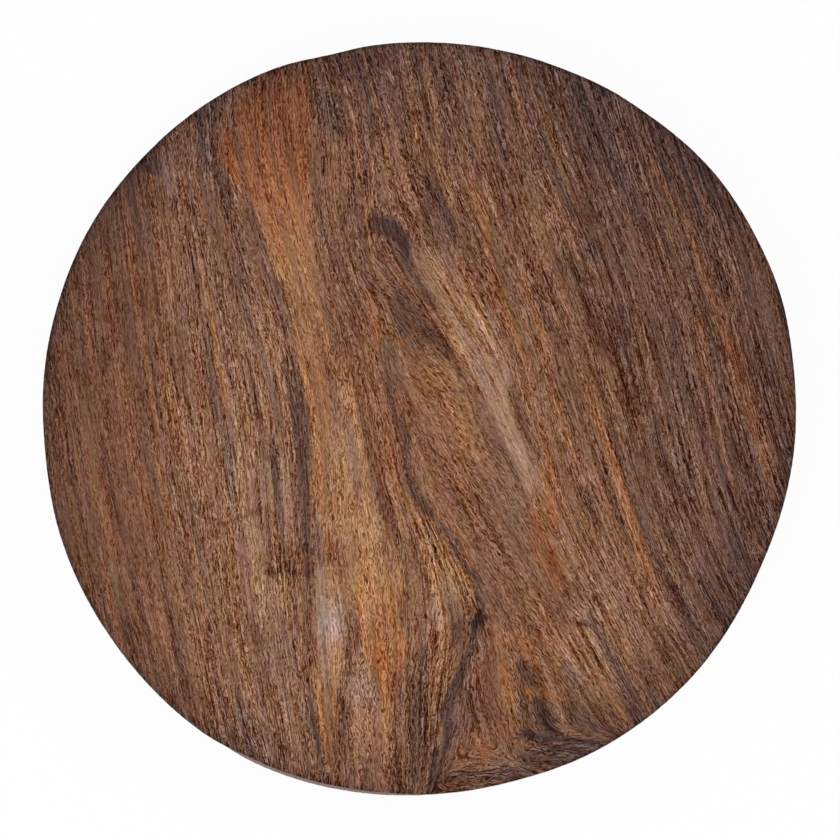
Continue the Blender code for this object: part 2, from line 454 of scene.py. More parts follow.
# Soft lines and patches, each over those before it
STREAKS: tuple[Streak, ...] = (
    # Left field
    Streak(((-143, 88), (-142, 74)), (0, 2, 0), -12),
    Streak(((-137, 64), (-137, 48), (-135, 30)), (0, 2, 2, 0), -12, 0.2),
    Streak(((-125, 62), (-124, 48)), (3, 3), -9, 0.3),
    Streak(((-142, 36), (-141, 20)), (1, 3, 1), -12),
    Streak(((-143, -3), (-141, -18), (-139, -32)), (0, 1.8, 0), -14),
    Streak(((-138, -32), (-136, -42), (-133, -56)), (1, 2.4, 1), -13, 0.4),
    Streak(((-122, -28), (-120, -40), (-117.5, -51), (-114, -62)), (1, 2, 1.8, 0.5), -12, 0.5),
    Streak(((-127, -8), (-123, -22)), (1, 2, 0), -10, 0.2),
    Streak(((-150, 0), (-149, -22), (-146, -44)), (1, 3, 1), 8),
    Streak(((-131, -60), (-126, -85), (-120, -108)), (0, 2, 0), -8),
    Streak(((-130, -92), (-126, -104)), (3, 5, 3), -10, 0.1),
    Streak(((-112, -88), (-107, -108), (-103, -122)), (0, 1.8, 0), -8),
    Streak(((-118, 46), (-113, 30), (-110, 12)), (1, 3, 1), 7, -0.4),
    Streak(((-160, 66), (-152, 56)), (2, 4, 2), -8, 0.4),
    # Upper left, beside the heart band
    Streak(((-123, 119), (-118, 111)), (3, 4.4, 2), -16, -0.7),
    Streak(((-114, 120), (-112.6, 108), (-112, 101)), (2, 4.2, 2), 20, -1.3, grain=-0.4),
    Streak(((-111.4, 99), (-111, 93)), (2, 1.6), -9, 0.3),
    Streak(((-111, 90), (-109, 84)), (1.8, 1), 10, -0.2),
    Streak(((-93, 148), (-92, 139), (-91.4, 132)), (7, 5, 2), -13, -0.6),
    Streak(((-98, 136), (-96, 123), (-93.6, 110)), (3.4, 4, 1.6), -16, -1.1),
    Streak(((-88, 132), (-87, 124)), (1.6, 1.5), 6, 0.4),
    Streak(((-90, 112), (-87, 98), (-86, 88)), (1, 1.6, 0.8), -17, -0.4),
    Streak(((-89, 120), (-83, 109), (-76.4, 97)), (0.6, 1.4, 0.8), 9, 0.3),
    Streak(((-80, 97), (-74.4, 87)), (2, 2.6), -9, 0.7),
    Streak(((-72, 75), (-67, 69), (-61, 64)), (0.8, 1.5, 1), 14, 0.1),
    Streak(((-60, 49), (-57, 40)), (2, 1.5), 10, 0.1),
    Streak(((-84, 132), (-82.5, 124), (-81, 116)), (1, 2, 0.8), -12, -0.5),
    Streak(((-80, 58), (-75, 48), (-71, 36), (-68, 26)), (0.6, 1.4, 1.5, 0.6), 14, 0.1),
    Streak(((-95, 60), (-93, 42), (-90.4, 22), (-87, 4), (-84, -9)), (0.3, 1.1, 1.2, 1.1, 0.5), 12, 0.3),
    Streak(((-89, 44), (-86.4, 29), (-84, 16), (-81, 4)), (0.4, 1.3, 1.3, 0.4), -20, -0.1),
    Streak(((-81, 14), (-78.4, 0), (-75.4, -14), (-72, -28)), (0.4, 1.1, 1.1, 0.4), 12),
    Streak(((-137, -13), (-128, -13)), (1.8, 1.5), -8, 0.3),
    Streak(((-112, -112), (-106, -123)), (3, 4), -6, -0.2),
    Streak(
        ((-101, 84), (-98, 68), (-94, 50), (-91, 35), (-88, 18), (-86, 6)),
        (0, 1.5, 1.8, 1.5, 0.5), 17, 0.4,
    ),
    Streak(((-106, 96), (-103, 78), (-99, 58), (-96, 44)), (0, 1.6, 1.6, 0), -20),
    Streak(((-97, 56), (-94, 32), (-92, 8), (-90, -6)), (0, 1.6, 1.8, 0), -18, -0.3),
    Streak(((-110, 88), (-109, 60), (-107, 40)), (0, 1.6, 0), 10),
    Streak(((-82, 100), (-79, 84), (-76, 70)), (3, 4, 2), 4, -0.5, curl=0.3),
    Streak(((-84, 80), (-81, 64), (-77, 50), (-72, 36), (-67, 20)), (0, 1.6, 2, 1.6, 0), -18, -0.2),
    Streak(((-79, 56), (-73, 45), (-67, 33), (-62, 20)), (1, 3, 3, 1), 7, curl=0.3),
    Streak(((-82, 104), (-78, 92), (-73, 78), (-69, 64)), (0.5, 1.6, 1.6, 0.8), -8, -0.1),
    Streak(((-66, 62), (-62, 50), (-60, 38)), (1, 3, 2), -16, -0.2),
    # Inside the heart band
    Streak(((-84, 146), (-84, 128)), (1.5, 2.5, 1), -10, -0.2),
    Streak(((-91, 123), (-87, 115), (-81, 107)), (1, 3, 1), -2, 0.2),
    Streak(((-71, 150), (-70, 135), (-71, 118)), (0.5, 1.4, 0.3), -14),
    Streak(((-75, 152), (-70, 149)), (2, 2), -11, -0.6),
    Streak(((-62, 116), (-60, 100), (-57, 80)), (1, 2.5, 1), 4),
    # Dark seam along the band and below it
    Streak(
        ((-60, 36), (-57, 20), (-55, 8), (-53.5, -4), (-52.5, -20), (-52.5, -38), (-51.5, -58)),
        (0.5, 2.4, 3, 3, 2.8, 2.6, 2.4), -22, -0.4, grain=0.1,
    ),
    Streak(((-50.6, -70), (-50.4, -90), (-50, -106), (-49.8, -120)), (1.4, 1.2, 1.3, 1.2), -14, -0.1),
    Streak(
        ((-50, -118), (-48.3, -128), (-47.6, -136), (-46, -143), (-45.2, -149), (-44, -155), (-44, -163)),
        (0.8, 1.6, 1.4, 1.6, 1.6, 1.6, 1), -22, -0.2,
    ),
    Streak(((-52, -126), (-51.6, -136), (-50.6, -145)), (0.5, 1.7, 0.8), -13, -0.1),
    Streak(((-46.5, -122), (-44.6, -136), (-43, -148), (-41.6, -158)), (0.4, 1.2, 1.2, 1), 10, 0.4),
    Streak(((-47, 156), (-48, 144), (-49, 133)), (1, 1.6, 1), -8, -0.2),
    # Middle left
    Streak(((-67, -4), (-65, -20), (-64, -36)), (0.5, 1.8, 0.5), -22, -0.6),
    Streak(((-74.4, 6), (-72.4, -16), (-70.6, -36)), (0, 1.2, 0.6), -13),
    Streak(((-85, 2), (-85, -20), (-85, -40)), (1, 2.6, 1), -4, -0.7),
    Streak(((-59, -12), (-59, -40), (-60, -62)), (4, 5, 4), 4, fade=0.9),
    Streak(((-61, -76), (-60, -88)), (5, 5), 6, fade=0.9),
    Streak(((-100, 24), (-100, -10), (-100, -50)), (10, 14, 12), 0, 0.15, fade=0.9),
    Streak(
        ((-80, -8), (-80, -28), (-77, -46), (-75, -55), (-74.6, -64)),
        (1, 2.6, 2.6, 2.4, 1.2), 15, -0.5,
    ),
    Streak(((-72, -14), (-70, -34)), (1, 2, 1), 6, -0.6),
    Streak(((-86, -48), (-85, -64), (-83, -84), (-81, -100)), (0.4, 1.4, 1.3, 0.3), 12),
    Streak(((-105, -38.4), (-99, -39.8), (-94.6, -44.4), (-88.6, -47.4)), (1, 2, 1.3, 1.6), -20, 0.4),
    Streak(((-84, -45.4), (-78, -43.2), (-71.5, -41.4)), (0.8, 1.7, 1.2), -27, 0.5),
    Streak(((-76.4, -88), (-74.4, -96), (-72, -103)), (1, 3.4, 1.5), -26, 0.6),
    Streak(((-74, -100), (-73, -116)), (1, 1.6, 0.5), -12, 0.3),
    Streak(((-73.5, -70), (-72.5, -80), (-72, -90)), (1.4, 2.2, 1), 12, -0.5),
    Streak(((-56, -76), (-55, -100), (-55, -124)), (0.4, 1.2, 0.5), -12, -0.3),
    Streak(((-67.6, -116), (-65.4, -130), (-62, -144)), (0.4, 1.3, 0.5), 12),
    Streak(((-72.6, -112), (-70, -124), (-68, -134)), (0.5, 1.4, 0.5), -9),
    Streak(((-80, -126), (-78, -140), (-74, -152)), (2, 5, 2), -10, -0.4),
    Streak(((-67, -126), (-64, -142), (-60, -158)), (0.5, 1.2, 0.5), -12, -0.4),
    Streak(((-45, -68), (-42, -62)), (2, 1), 8, -0.8),
    # Pale haze and the strips below it
    Streak(((-39, -85), (-38, -98)), (4, 4), 8, -0.5, fade=0.9),
    Streak(((-32.6, -104), (-32.8, -112), (-33, -119)), (0.8, 1.8, 1), -9, -0.2),
    Streak(((-36, -122), (-34.5, -132), (-36, -142), (-37, -152)), (1.2, 2.2, 2, 1), -16, -0.2),
    Streak(((-47, -112), (-46, -124), (-44.5, -134)), (0.6, 1.6, 0.8), 2, 0.3),
    Streak(((-18, -96), (-18, -104), (-17, -112)), (1.5, 4, 3), -3, 0.4),
    Streak(
        ((-10.5, -116), (-9, -124), (-10, -134), (-11, -142), (-10.4, -154)),
        (1, 1.4, 1.2, 1.2, 0.8), -17, 0.3,
    ),
    Streak(((-9.4, -92), (-8.2, -104), (-8.4, -113)), (0.4, 1, 0.5), 13, 0.6),
    Streak(((-8, -124), (-8, -138), (-7.4, -152), (-7, -163)), (0.3, 0.9, 1, 0.6), 11, 0.5),
    Streak(((-29, -110), (-30, -122), (-31, -134)), (0.8, 1.3, 0.8), -10, 0.1),
    Streak(((1, -104), (0, -124), (0, -144), (-1, -160)), (3, 5.5, 6, 4), -14, -0.2),
    # Golden flame and the wood on its right
    Streak(((-46.5, -42), (-46, -52), (-45.5, -62)), (1, 2, 1.6), 3, -1.0),
    Streak(((-40, -52), (-40, -59), (-38, -66)), (1, 2.2, 1), -12, 0.5),
    Streak(((-29.6, -84), (-28.6, -93), (-28.4, -102)), (0.8, 1.6, 1), -12, 0.2),
    Streak(((-26, 28), (-25, 10), (-23, -8), (-20, -24)), (1.5, 3, 2.4, 1), -10, 0.5),
    Streak(
        ((-16, 6), (-14, -4), (-11.6, -14), (-10.4, -26), (-9, -36)),
        (0.6, 1.6, 1.8, 1.8, 1), 12, 0.3,
    ),
    Streak(((-17, -28), (-15, -42), (-11.5, -54), (-9.4, -62)), (1, 3, 2.4, 1), -12, 0.4),
    Streak(
        ((-9, -30), (-4.8, -37.6), (-2, -42), (1.4, -46), (5, -46)),
        (0.6, 1.3, 1.6, 1.4, 0.6), 11, 0.3,
    ),
    Streak(((9, -52), (12, -60), (18, -68), (22, -75), (24.4, -83)), (0.6, 1.2, 1.2, 1.4, 0.6), 9, 0.2),
    Streak(((-6.4, -66), (-6.4, -80), (-7, -92)), (0.5, 1.6, 0.6), -12, 0.4),
    Streak(((-1, -68), (-1, -90)), (3.5, 3.5), 7, fade=0.9),
    Streak(((-20, 40), (-18, 14), (-16, -20)), (8, 10, 8), 0, 0.25, fade=0.9),
    Streak(((-31, -2), (-30, -14), (-29, -26)), (1.5, 3.4, 2), 5, -0.5, grain=-0.3),
    # Above, left of and round the knot
    Streak(((-44, 143), (-40, 138), (-37, 131)), (4, 6, 3), -10, -0.8, curl=0.6),
    Streak(((-34, 131), (-31.5, 125)), (2.2, 1.6), -14, 0.5),
    Streak(((-23, 118), (-24, 106)), (1.2, 1.6), -13, 0.2),
    Streak(((-46, 128), (-42, 122)), (2, 1.6), 5, 0.5),
    Streak(((-36, 160), (-28, 156)), (6, 4), -9),
    Streak(((-34, 102), (-33, 90)), (2, 4, 2), -12, -0.1),
    Streak(((-46, 104), (-44, 84), (-42, 64)), (1, 2.6, 1), 6, -0.4),
    Streak(((-20, 116), (-12, 106), (-2, 98)), (5, 8, 4), 10, -0.2, curl=0.5, grain=0.1),
    Streak(((-26, 84), (-23, 80)), (2, 2), -10, -0.2),
    Streak(((-27.2, 80), (-26, 76)), (1.3, 0.9), 18, -0.2),
    Streak(((-22, 80.5), (-18, 80)), (2, 2), 8, 0.2),
    Streak(((-23, 83), (-17, 81), (-11, 77)), (2, 2.6, 1.6), -7, 0.3),
    Streak(((-38, 74), (-34, 62), (-30, 44), (-28, 26)), (1.5, 2, 3, 2), -8, 0.1),
    Streak(((-37, 60), (-34, 52), (-32, 45)), (1, 2.4, 1), 9, -0.6),
    Streak(((-23, 56), (-20, 42), (-18, 26)), (1, 3, 1), 9, 0.4),
    Streak(((-16, 76), (-13, 64), (-9, 56)), (5, 6, 4), -5, -0.2),
    Streak(((-7, 52), (-2.5, 48), (2.5, 42)), (5.5, 8, 5.5), -25, 0.1, fade=0.9, grain=-0.1),
    Streak(((3, 38), (8, 35.5), (12.5, 30)), (3.2, 4.4, 3.2), -26, 0.3, fade=0.8, grain=-0.1),
    Streak(((-12, 45), (-8, 40), (-5, 37)), (2.5, 4, 2.5), -9, -0.4, fade=0.8),
    Streak(((14.5, 17.5), (17, 15.6), (20, 15)), (0.6, 1.4, 0.6), 20, 0.2),
    Streak(((14, 13.4), (17, 12), (20.6, 13)), (0.6, 1, 0.6), -20),
    Streak(((15, 27), (17, 21), (21, 15)), (2, 3, 2), 7, -0.3, fade=0.9),
    Streak(((-14, 32), (-12, 18)), (4, 5), -5, -0.9, grain=-0.2),
    Streak(((-9, 33), (-4, 36.6), (3, 38.4)), (0.5, 1.5, 0.6), 11, 1.1),
    Streak(((-2, 28), (4, 20)), (4, 5), 6, 0.1),
    # Top
    Streak(((0, 168), (-2, 160)), (5, 4), -4),
    Streak(((3, 154), (6, 142), (9, 129)), (1, 1.8, 0.8), 11, 0.3),
    Streak(((3, 108), (7, 99), (12, 91), (16, 80)), (1.6, 4, 3.4, 1.2), -13, -0.4, fade=0.9, grain=0.2),
    Streak(((11, 158), (12, 148)), (3, 3), -8),
    Streak(((26.6, 113), (26.6, 108)), (2.4, 2.2), -24, 0.2),
    Streak(((22, 154), (26, 136), (28, 122)), (0.5, 2, 1), 12, 0.3),
    Streak(((31, 154), (34, 140), (37, 126), (40, 114)), (1, 3, 3, 1), -13, -0.8),
    Streak(((40, 160), (44, 146), (48, 130), (52, 118)), (0.5, 1.7, 1.6, 0.5), 12, 0.4),
    Streak(((26, 118), (26, 104), (29, 90), (31, 74)), (1, 2.4, 2.8, 1.5), 13, 0.4),
    Streak(((19, 122), (23, 112), (24, 104)), (0.6, 1.8, 0.6), 11, 0.3),
    Streak(((27, 116), (29, 108), (29.5, 101)), (0.4, 1.6, 0.4), 9, -0.5),
    # Right of the knot, above the pale sweep
    Streak(((2, 84), (8, 74), (12, 64)), (2, 3.5, 1), 5, -0.3),
    Streak(((20, 92), (22, 78), (24, 68), (28, 59), (32, 50)), (1, 2.6, 2.8, 2.4, 1), -13, 0.1),
    Streak(((50, 70), (53, 58), (56, 48), (59, 40)), (1, 2.6, 2.4, 1), -16, 0.2),
    Streak(((58, 46), (62, 37), (65, 28)), (0.8, 2, 1), -13, 0.2),
    Streak(((52, 46), (55, 36), (58, 27)), (0.8, 2, 1), 2, 0.6),
    Streak(((32, 72), (34, 60), (38, 50), (42, 40), (47, 27)), (1, 3, 3, 3, 1.5), 1, 0.7),
    Streak(((41, 78), (46, 66), (51, 52)), (0.5, 1.4, 0.5), 9),
    Streak(((30, 50), (34, 42), (38, 34)), (2, 3, 1), -8, -0.4, curl=0.5),
    Streak(((44, 62), (49, 52), (54, 42), (58, 30)), (0.5, 2, 2, 0.5), 11),
    # Upper right
    Streak(
        ((46, 148), (51, 134), (56, 120), (62, 107), (69, 93), (74, 83), (78, 74)),
        (1, 2, 2.2, 2.2, 2.4, 2.6, 2), -12, -0.5,
    ),
    Streak(
        ((54, 143), (60, 123), (66, 108.5), (72, 96), (77, 86), (82, 74)),
        (0.4, 1.5, 1.6, 1.5, 1.5, 0.4), 4, 0.5,
    ),
    Streak(((72, 148), (78, 131), (86, 112)), (4, 7, 5), -8, -0.6, grain=-0.1),
    Streak(((93, 130), (97, 117)), (1.6, 2.4, 1), -6, -0.2),
    Streak(
        ((101.5, 130), (106, 113), (113, 99), (121, 87), (126, 74), (131, 62)),
        (0.4, 1.5, 1.8, 2, 1.8, 0.6), 9, 0.7,
    ),
    Streak(((105, 127), (109, 116), (113, 107)), (1, 2.4, 1), -6, -0.6),
    Streak(((114, 128), (119, 112), (124, 97), (129, 84)), (1, 2, 2, 1), -9, -0.3),
    Streak(((126, 114), (132, 102), (139, 90)), (4, 4, 3), -7, -0.2),
    Streak(((144, 84), (150, 66), (156, 46)), (3, 5, 3), 6, -0.4, grain=-0.3),
    Streak(((156, 80), (162.5, 62), (167.5, 42), (170, 18)), (1.5, 3.4, 4, 2.5), -17, -1.0, grain=-0.4),
    Streak(((52, 108), (58, 96), (62, 84)), (2, 4, 2), 6, curl=0.3),
    Streak(((70, 86), (74, 81)), (3, 3), 5, 0.2, curl=0.4),
    Streak(((62, 73), (70, 66)), (2.5, 3.5), -10),
    Streak(((73, 65), (80, 62)), (2, 3), -9, 0.6),
    Streak(((76, 80), (79.5, 71)), (2, 2.6), -9, -0.4),
    # Right
    Streak(((62, 64), (66, 53), (71, 42), (77, 30), (80, 20)), (0.4, 1.5, 1.7, 1.5, 0.4), 14, 0.1),
    Streak(((75, 54), (80, 45), (84, 37), (88, 27)), (3, 6, 6, 3), -19, 0.9),
    Streak(((92, 48), (94, 38)), (3, 3), -15, 0.1),
    Streak(((92, 18), (98, 8)), (4, 6), -15, 0.8),
    Streak(((52, 36), (58, 20), (63, 6)), (1, 2, 1), -8, 0.5),
    Streak(((46, 22), (51, 8)), (3, 3), 5, curl=0.4),
    Streak(((65.5, 22), (69, 13), (72, 4), (75, -6)), (0.6, 1.6, 1.6, 0.6), -18, -0.1),
    Streak(((124, 76), (129, 62), (135, 48), (139.5, 33)), (0.4, 2, 2.6, 2.6), 7, 0.7),
    Streak(
        ((139.5, 33), (143.5, 20), (148, 6), (152.6, -10), (158, -28), (160, -38)),
        (2.6, 3.4, 3.6, 3.2, 2.4, 1), 7, 1.0,
    ),
    Streak(((136, 34), (138.4, 24)), (1.3, 1), -13, 0.5),
    Streak(((150, 36), (155, 16), (158, 2)), (0.6, 2, 1), -8, -0.3),
    Streak(((125, 46), (128, 35)), (1.2, 1.2), 10, 0.6),
    Streak(((164, -14), (162, -34), (154, -56)), (2.6, 3, 2), -9),
    Streak(((150, -40), (141, -62), (135, -86)), (5, 9, 8), -9, fade=0.9),
    Streak(((96, -112), (102, -125)), (5, 6), -7, fade=0.9),
    Streak(((78, 22), (84, 4)), (8, 8), 0, 0.2, fade=0.9),
    Streak(((38, -16), (44, -42)), (6, 8), 0, -0.25, fade=0.9),
    # Right of the pale sweep
    Streak(((14, 26), (20, 16), (27, 4), (31, -8), (36, -18)), (1.5, 3, 3, 2.6, 1), -5, -0.3, fade=0.8),
    Streak(((57, -14), (58, -26), (60, -38), (60, -50)), (1.5, 3.2, 3.4, 2), 2, 1.0),
    Streak(((50, -42), (54, -54), (59, -65), (63, -76)), (2, 4, 4, 2), 3, 1.6),
    Streak(((33, 24), (38, 4), (45, -16), (52, -32)), (5, 6, 7, 4), grain=-0.35, fade=0.8),
    Streak(((58.6, -50), (62.6, -59), (66, -68), (69, -77), (72, -87)), (0.6, 1.6, 1.5, 1.5, 1), 13, 0.1),
    Streak(((63, -52), (69, -62.5), (73, -71.5), (76.6, -79)), (0.6, 1.4, 1.3, 0.5), 13, -0.1),
    Streak(((69.6, -74), (73.6, -81)), (1.8, 1.4), -18, 0.4),
    Streak(((70.4, -91.6), (75, -93)), (1.6, 1.6), -16, 1.0),
    Streak(
        ((76, -90), (80, -96), (86, -107), (93, -122), (98.5, -138)),
        (2.4, 2.6, 3, 3, 2.5), -18, -0.5,
    ),
    Streak(((70, -22), (74, -28)), (1, 1), -6),
    Streak(((71, -31), (75, -38), (78, -46)), (1, 1.8, 1), -14, -0.3),
    Streak(((75, -3), (78, -13), (80, -23)), (0.5, 1.6, 1), -12),
    Streak(
        ((76.5, 11), (79.5, 1), (84, -11), (88.6, -25), (93, -39), (97, -51), (101, -61), (105, -74)),
        (0.4, 1.4, 1.6, 2, 2.4, 2.6, 2.6, 1.2), 12, 0.7,
    ),
    Streak(((82, 3), (86, -8), (91, -22), (97, -40), (103, -54)), (0.5, 1.5, 1.4, 1.5, 1), -14),
    Streak(
        ((99.5, -50), (104.5, -60), (110, -69.5), (116, -79), (122.6, -88), (128.6, -101)),
        (0.8, 2, 2, 1.6, 1.5, 1), -11, -0.2,
    ),
    Streak(((86, -34), (89.5, -44), (93.5, -55), (96.5, -64)), (0.6, 1.8, 1.6, 0.6), -13, -0.1),
    Streak(((101, -69), (103, -75)), (1.2, 1.2), -16),
    Streak(((104, -92), (110, -106), (116, -116)), (1, 2.4, 2), -10),
    Streak(((60, -93), (66, -104), (74, -119)), (2, 5.5, 3), 7, -0.4, grain=-0.1),
    # Lower right
    Streak(((41, -98), (48, -102)), (2.4, 2.6), 9, 0.6),
    Streak(((52, -98), (55, -101)), (1.8, 1.4), 9, 0.3),
    Streak(((53, -104), (56, -108)), (1.8, 1.4), -16, 0.3),
    Streak(((46, -110), (49, -116), (53, -121)), (2.4, 3, 1.5), -20, -0.4),
    Streak(((46, -123), (55, -122.6), (63, -125), (67.6, -129.6)), (1, 1.8, 1.5, 0.8), 11, 0.6),
    Streak(((74, -130), (78, -140)), (1.2, 2), -12, -0.5),
    Streak(((66, -112), (69, -118)), (3, 3), -10, -0.6),
    Streak(((53, -127), (56, -133), (60, -138)), (2, 4.5, 3), -20, -0.9, grain=-0.1),
    Streak(((66, -128), (69, -134), (73, -140)), (1.5, 3, 1.5), -22, -0.8),
    Streak(((26, -144), (29, -150), (31, -156)), (3, 4.5, 2), 12, 0.5),
    Streak(((38, -114), (40, -122), (42, -130)), (2, 3, 2), 9, 0.4),
    Streak(((37, -138), (42, -141)), (4.5, 4), -2, 0.7),
    Streak(((46, -142), (53, -142.6), (60, -143.2)), (2.8, 2.8, 1.4), -24, -0.9, grain=-0.3),
    Streak(((48, -152), (64, -150), (80, -147)), (3, 6.5, 3.5), -15, -1.1, grain=-0.2),
    Streak(((12, -161), (30, -160), (50, -158)), (2, 3, 3), -8, -0.8),
    Streak(((16, -156), (20, -157)), (2, 2), 8, -0.6),
    Streak(((15, -71), (17.5, -76), (20.5, -79)), (1, 2.2, 1.4), -13, 0.2),
    Streak(((20.5, -85), (20, -91), (16.5, -94), (15, -102)), (1, 1.4, 2, 1.2), -14, 0.1),
    Streak(((24, -126), (28, -134)), (5, 4), -8, 0.2),
    # Broad lights and shades
    Streak(((27, 0), (32, -19), (36, -38)), (7, 12, 8), 9.5, -0.35, fade=0.9),
    Streak(((-66, -64), (-68, -84), (-61, -106)), (9, 17, 10), 9.5, -0.3, fade=0.9),
    Streak(((-80, -22), (-77, -39), (-70, -56)), (8, 13, 9), 9.5, -0.15, fade=0.9),
    Streak(((74, -94), (59, -108), (50, -124)), (7, 10, 8), 9.5, -0.2, fade=0.9),
    Streak(((-133, 18), (-135, 4), (-136, -10)), (9, 13, 9), 10.5, fade=0.9),
    Streak(((45, 121), (50, 110), (54, 100)), (7, 9, 7), -9, -0.25, fade=0.9),
    Streak(((-23, 156), (-20, 145), (-18, 134)), (7, 9, 7), -9, -0.15, fade=0.9),
    Streak(((136, -28), (140, -40), (143, -52)), (7, 9, 7), 6, -0.5, fade=0.9),
    Streak(((-101, 119), (-95, 110), (-91, 101)), (7, 9, 7), -8, -0.2, fade=0.9),
    Streak(((-3, 20), (0, 10), (3, 0)), (6, 8, 6), 8, -0.2, fade=0.9),
    Streak(((-33, -121), (-30, -130), (-27, -139)), (6, 8, 6), 7, -0.25, fade=0.9),
    Streak(((37, -97), (44, -102.5), (51, -108)), (4, 6, 4), 13, fade=0.9),
    Streak(((36, -112), (36.5, -120), (38, -128)), (3, 5, 3), 11, fade=0.9),
    Streak(((27, -116), (29.5, -125), (30, -133)), (3, 5.5, 3), -8, 0.6, fade=0.9),
    Streak(((24, -139), (28.5, -143), (33, -148)), (3, 5.5, 3), -6, 0.4, fade=0.9),
    Streak(((47, -131), (53, -134), (58, -138)), (3, 5.5, 3), -8, -0.4, fade=0.9),
    Streak(((140, 52), (142, 40), (143, 28)), (6, 9, 6), 8, fade=0.9),
    Streak(((56, -28), (61, -41), (67, -54)), (5, 8, 5), 7, fade=0.9),
    Streak(((96, 108), (101, 98), (105, 88)), (6, 9, 6), -6, -0.15, fade=0.9),
    Streak(((96, -90), (101, -100), (104, -110)), (6, 9, 6), -6, -0.1, fade=0.9),
)

# Dark lines with crisp edges, over the streaks
VEINS: tuple[Inlay, ...] = (
    # The darkest parts of the vein that wriggles down the middle
    Inlay(((-6, -22), (-4, -30), (-1.5, -36)), (0.2, 0.5, 0.3), 0.4),
    Inlay(((3, -40.4), (6.4, -42.6)), (0.8, 0.4), 0.35),
    Inlay(((9.4, -48.8), (12.4, -50.6)), (0.6, 0.5), 0.4),
    Inlay(((21, -67), (23.5, -69.8), (26, -72), (27.6, -76)), (0.4, 0.8, 0.6, 0.2), 0.5),
    Inlay(((28.4, -87.6), (30, -88.6), (31.6, -89.6)), (0.3, 0.7, 0.8), 0.35),
    Inlay(((27, -90), (24.8, -92.4), (24.6, -96)), (1.4, 1.5, 0.8), 0.7),
    Inlay(((20.5, -109), (17.5, -114), (14, -120)), (0.3, 0.6, 0.3), 0.45),
    Inlay(((12, -136), (12.5, -143), (11.5, -150), (8, -157)), (0.3, 0.7, 0.6, 0.4), 0.45),
    # Thin dark lines
    Inlay(((-93, 120), (-92, 108), (-91.5, 96), (-90, 84), (-87, 72)), (0.4, 0.7, 0.7, 0.6, 0.2), 0.4),
    Inlay(((-57, 24), (-54.5, 8), (-54, -8), (-54.5, -26)), (0.3, 0.7, 0.7, 0.4), 0.2),
    Inlay(
        ((-50.2, 4), (-50.4, -16), (-50.3, -40), (-50.6, -60), (-50.4, -70)),
        (0.3, 0.6, 0.7, 0.9, 0.8), 0.25,
    ),
    Inlay(((-48.4, -127), (-47.6, -137), (-46, -143), (-45, -151)), (0.3, 0.6, 0.6, 0.3), 0.4),
    Inlay(((56, -144), (70, -144.6), (86, -145.4)), (0.9, 0.8, 0.4), 0.75),
    Inlay(((45.4, -140), (50, -142), (58, -143.4)), (0.6, 1.1, 0.6), 0.5),
    Inlay(((71, -92), (76, -92.8)), (0.8, 0.8), 0.4),
    Inlay(((101.4, -70), (103, -74.5)), (0.4, 0.5), 0.4),
    # Second horn of the knot, and the dark line down its right side
    Inlay(((-11, 90), (-9.5, 87.5), (-7.6, 84), (-6, 80), (-5.6, 75)), (0.3, 0.7, 0.8, 0.7, 0.2), 0.35),
)

# Pale lines with crisp edges
THREADS: tuple[Inlay, ...] = (
    Inlay(((-14.4, 158), (-13.2, 154.6), (-12, 151.6)), (0.6, 1.4, 0.6), 0.7),
    Inlay(((-1, 133), (-2, 124), (-3, 118)), (0.3, 0.8, 0.3), 0.5),
    Inlay(
        (
            (-25.5, 88), (-23.6, 93), (-21.2, 98), (-18, 94.8), (-14, 92.8), (-10.6, 92), (-7.6, 89.5),
            (-5.2, 84),
        ),
        (0.3, 0.8, 0.8, 0.7, 0.8, 0.8, 0.7, 0.3), 0.55,
    ),
    Inlay(
        ((-30, 100), (-25.5, 97), (-22, 102), (-17, 98), (-12, 96.5), (-7, 99), (-2, 96)),
        (0.3, 0.6, 0.6, 0.6, 0.6, 0.6, 0.3), 0.45,
    ),
    Inlay(((0, 106), (5, 98), (10, 91), (13, 82)), (0.3, 0.5, 0.5, 0.3), 0.5),
    Inlay(((-5.6, -114), (-5.6, -128), (-5, -142), (-4, -156)), (0.3, 0.8, 0.8, 0.5), 0.35),
    Inlay(
        ((10, -100), (9.6, -112), (6.4, -122), (5.8, -132), (4, -142), (3, -152)),
        (0.3, 0.8, 0.8, 0.8, 0.6, 0.3), 0.4,
    ),
    Inlay(
        ((9, -52), (12, -57), (14.2, -63), (17.6, -69), (22, -74), (24.4, -79), (25, -85)),
        (0.4, 0.9, 0.8, 0.9, 1.0, 0.8, 0.3), 0.42,
    ),
    Inlay(((10, -138), (8.6, -144), (8, -150)), (0.4, 0.8, 0.4), 0.4),
    Inlay(((62, 62), (66, 52), (71, 41)), (0.3, 0.7, 0.3), 0.45),
    Inlay(((62, -52), (67, -60), (71.6, -69)), (0.3, 0.7, 0.3), 0.4),
)

# Whitish marks where something dragged over the oil: (x, y, radius across, radius along, strength)
SCUFFS = (
    (48, 48, 3.0, 2.5, 0.45),
    (19, 17, 2.2, 1.8, 0.3),
    (50, 5, 1.6, 3.5, 0.3),
    (74, -27, 6.0, 2.2, 0.5),
    (-106, 7.5, 2.5, 1.5, 0.3),
    (-99, -4, 1.8, 1.4, 0.4),
    (159, -14, 0.8, 0.7, 0.5),
    (112, 114, 0.8, 1.6, 0.3),
    (17, 148, 0.9, 1.6, 0.3),
)


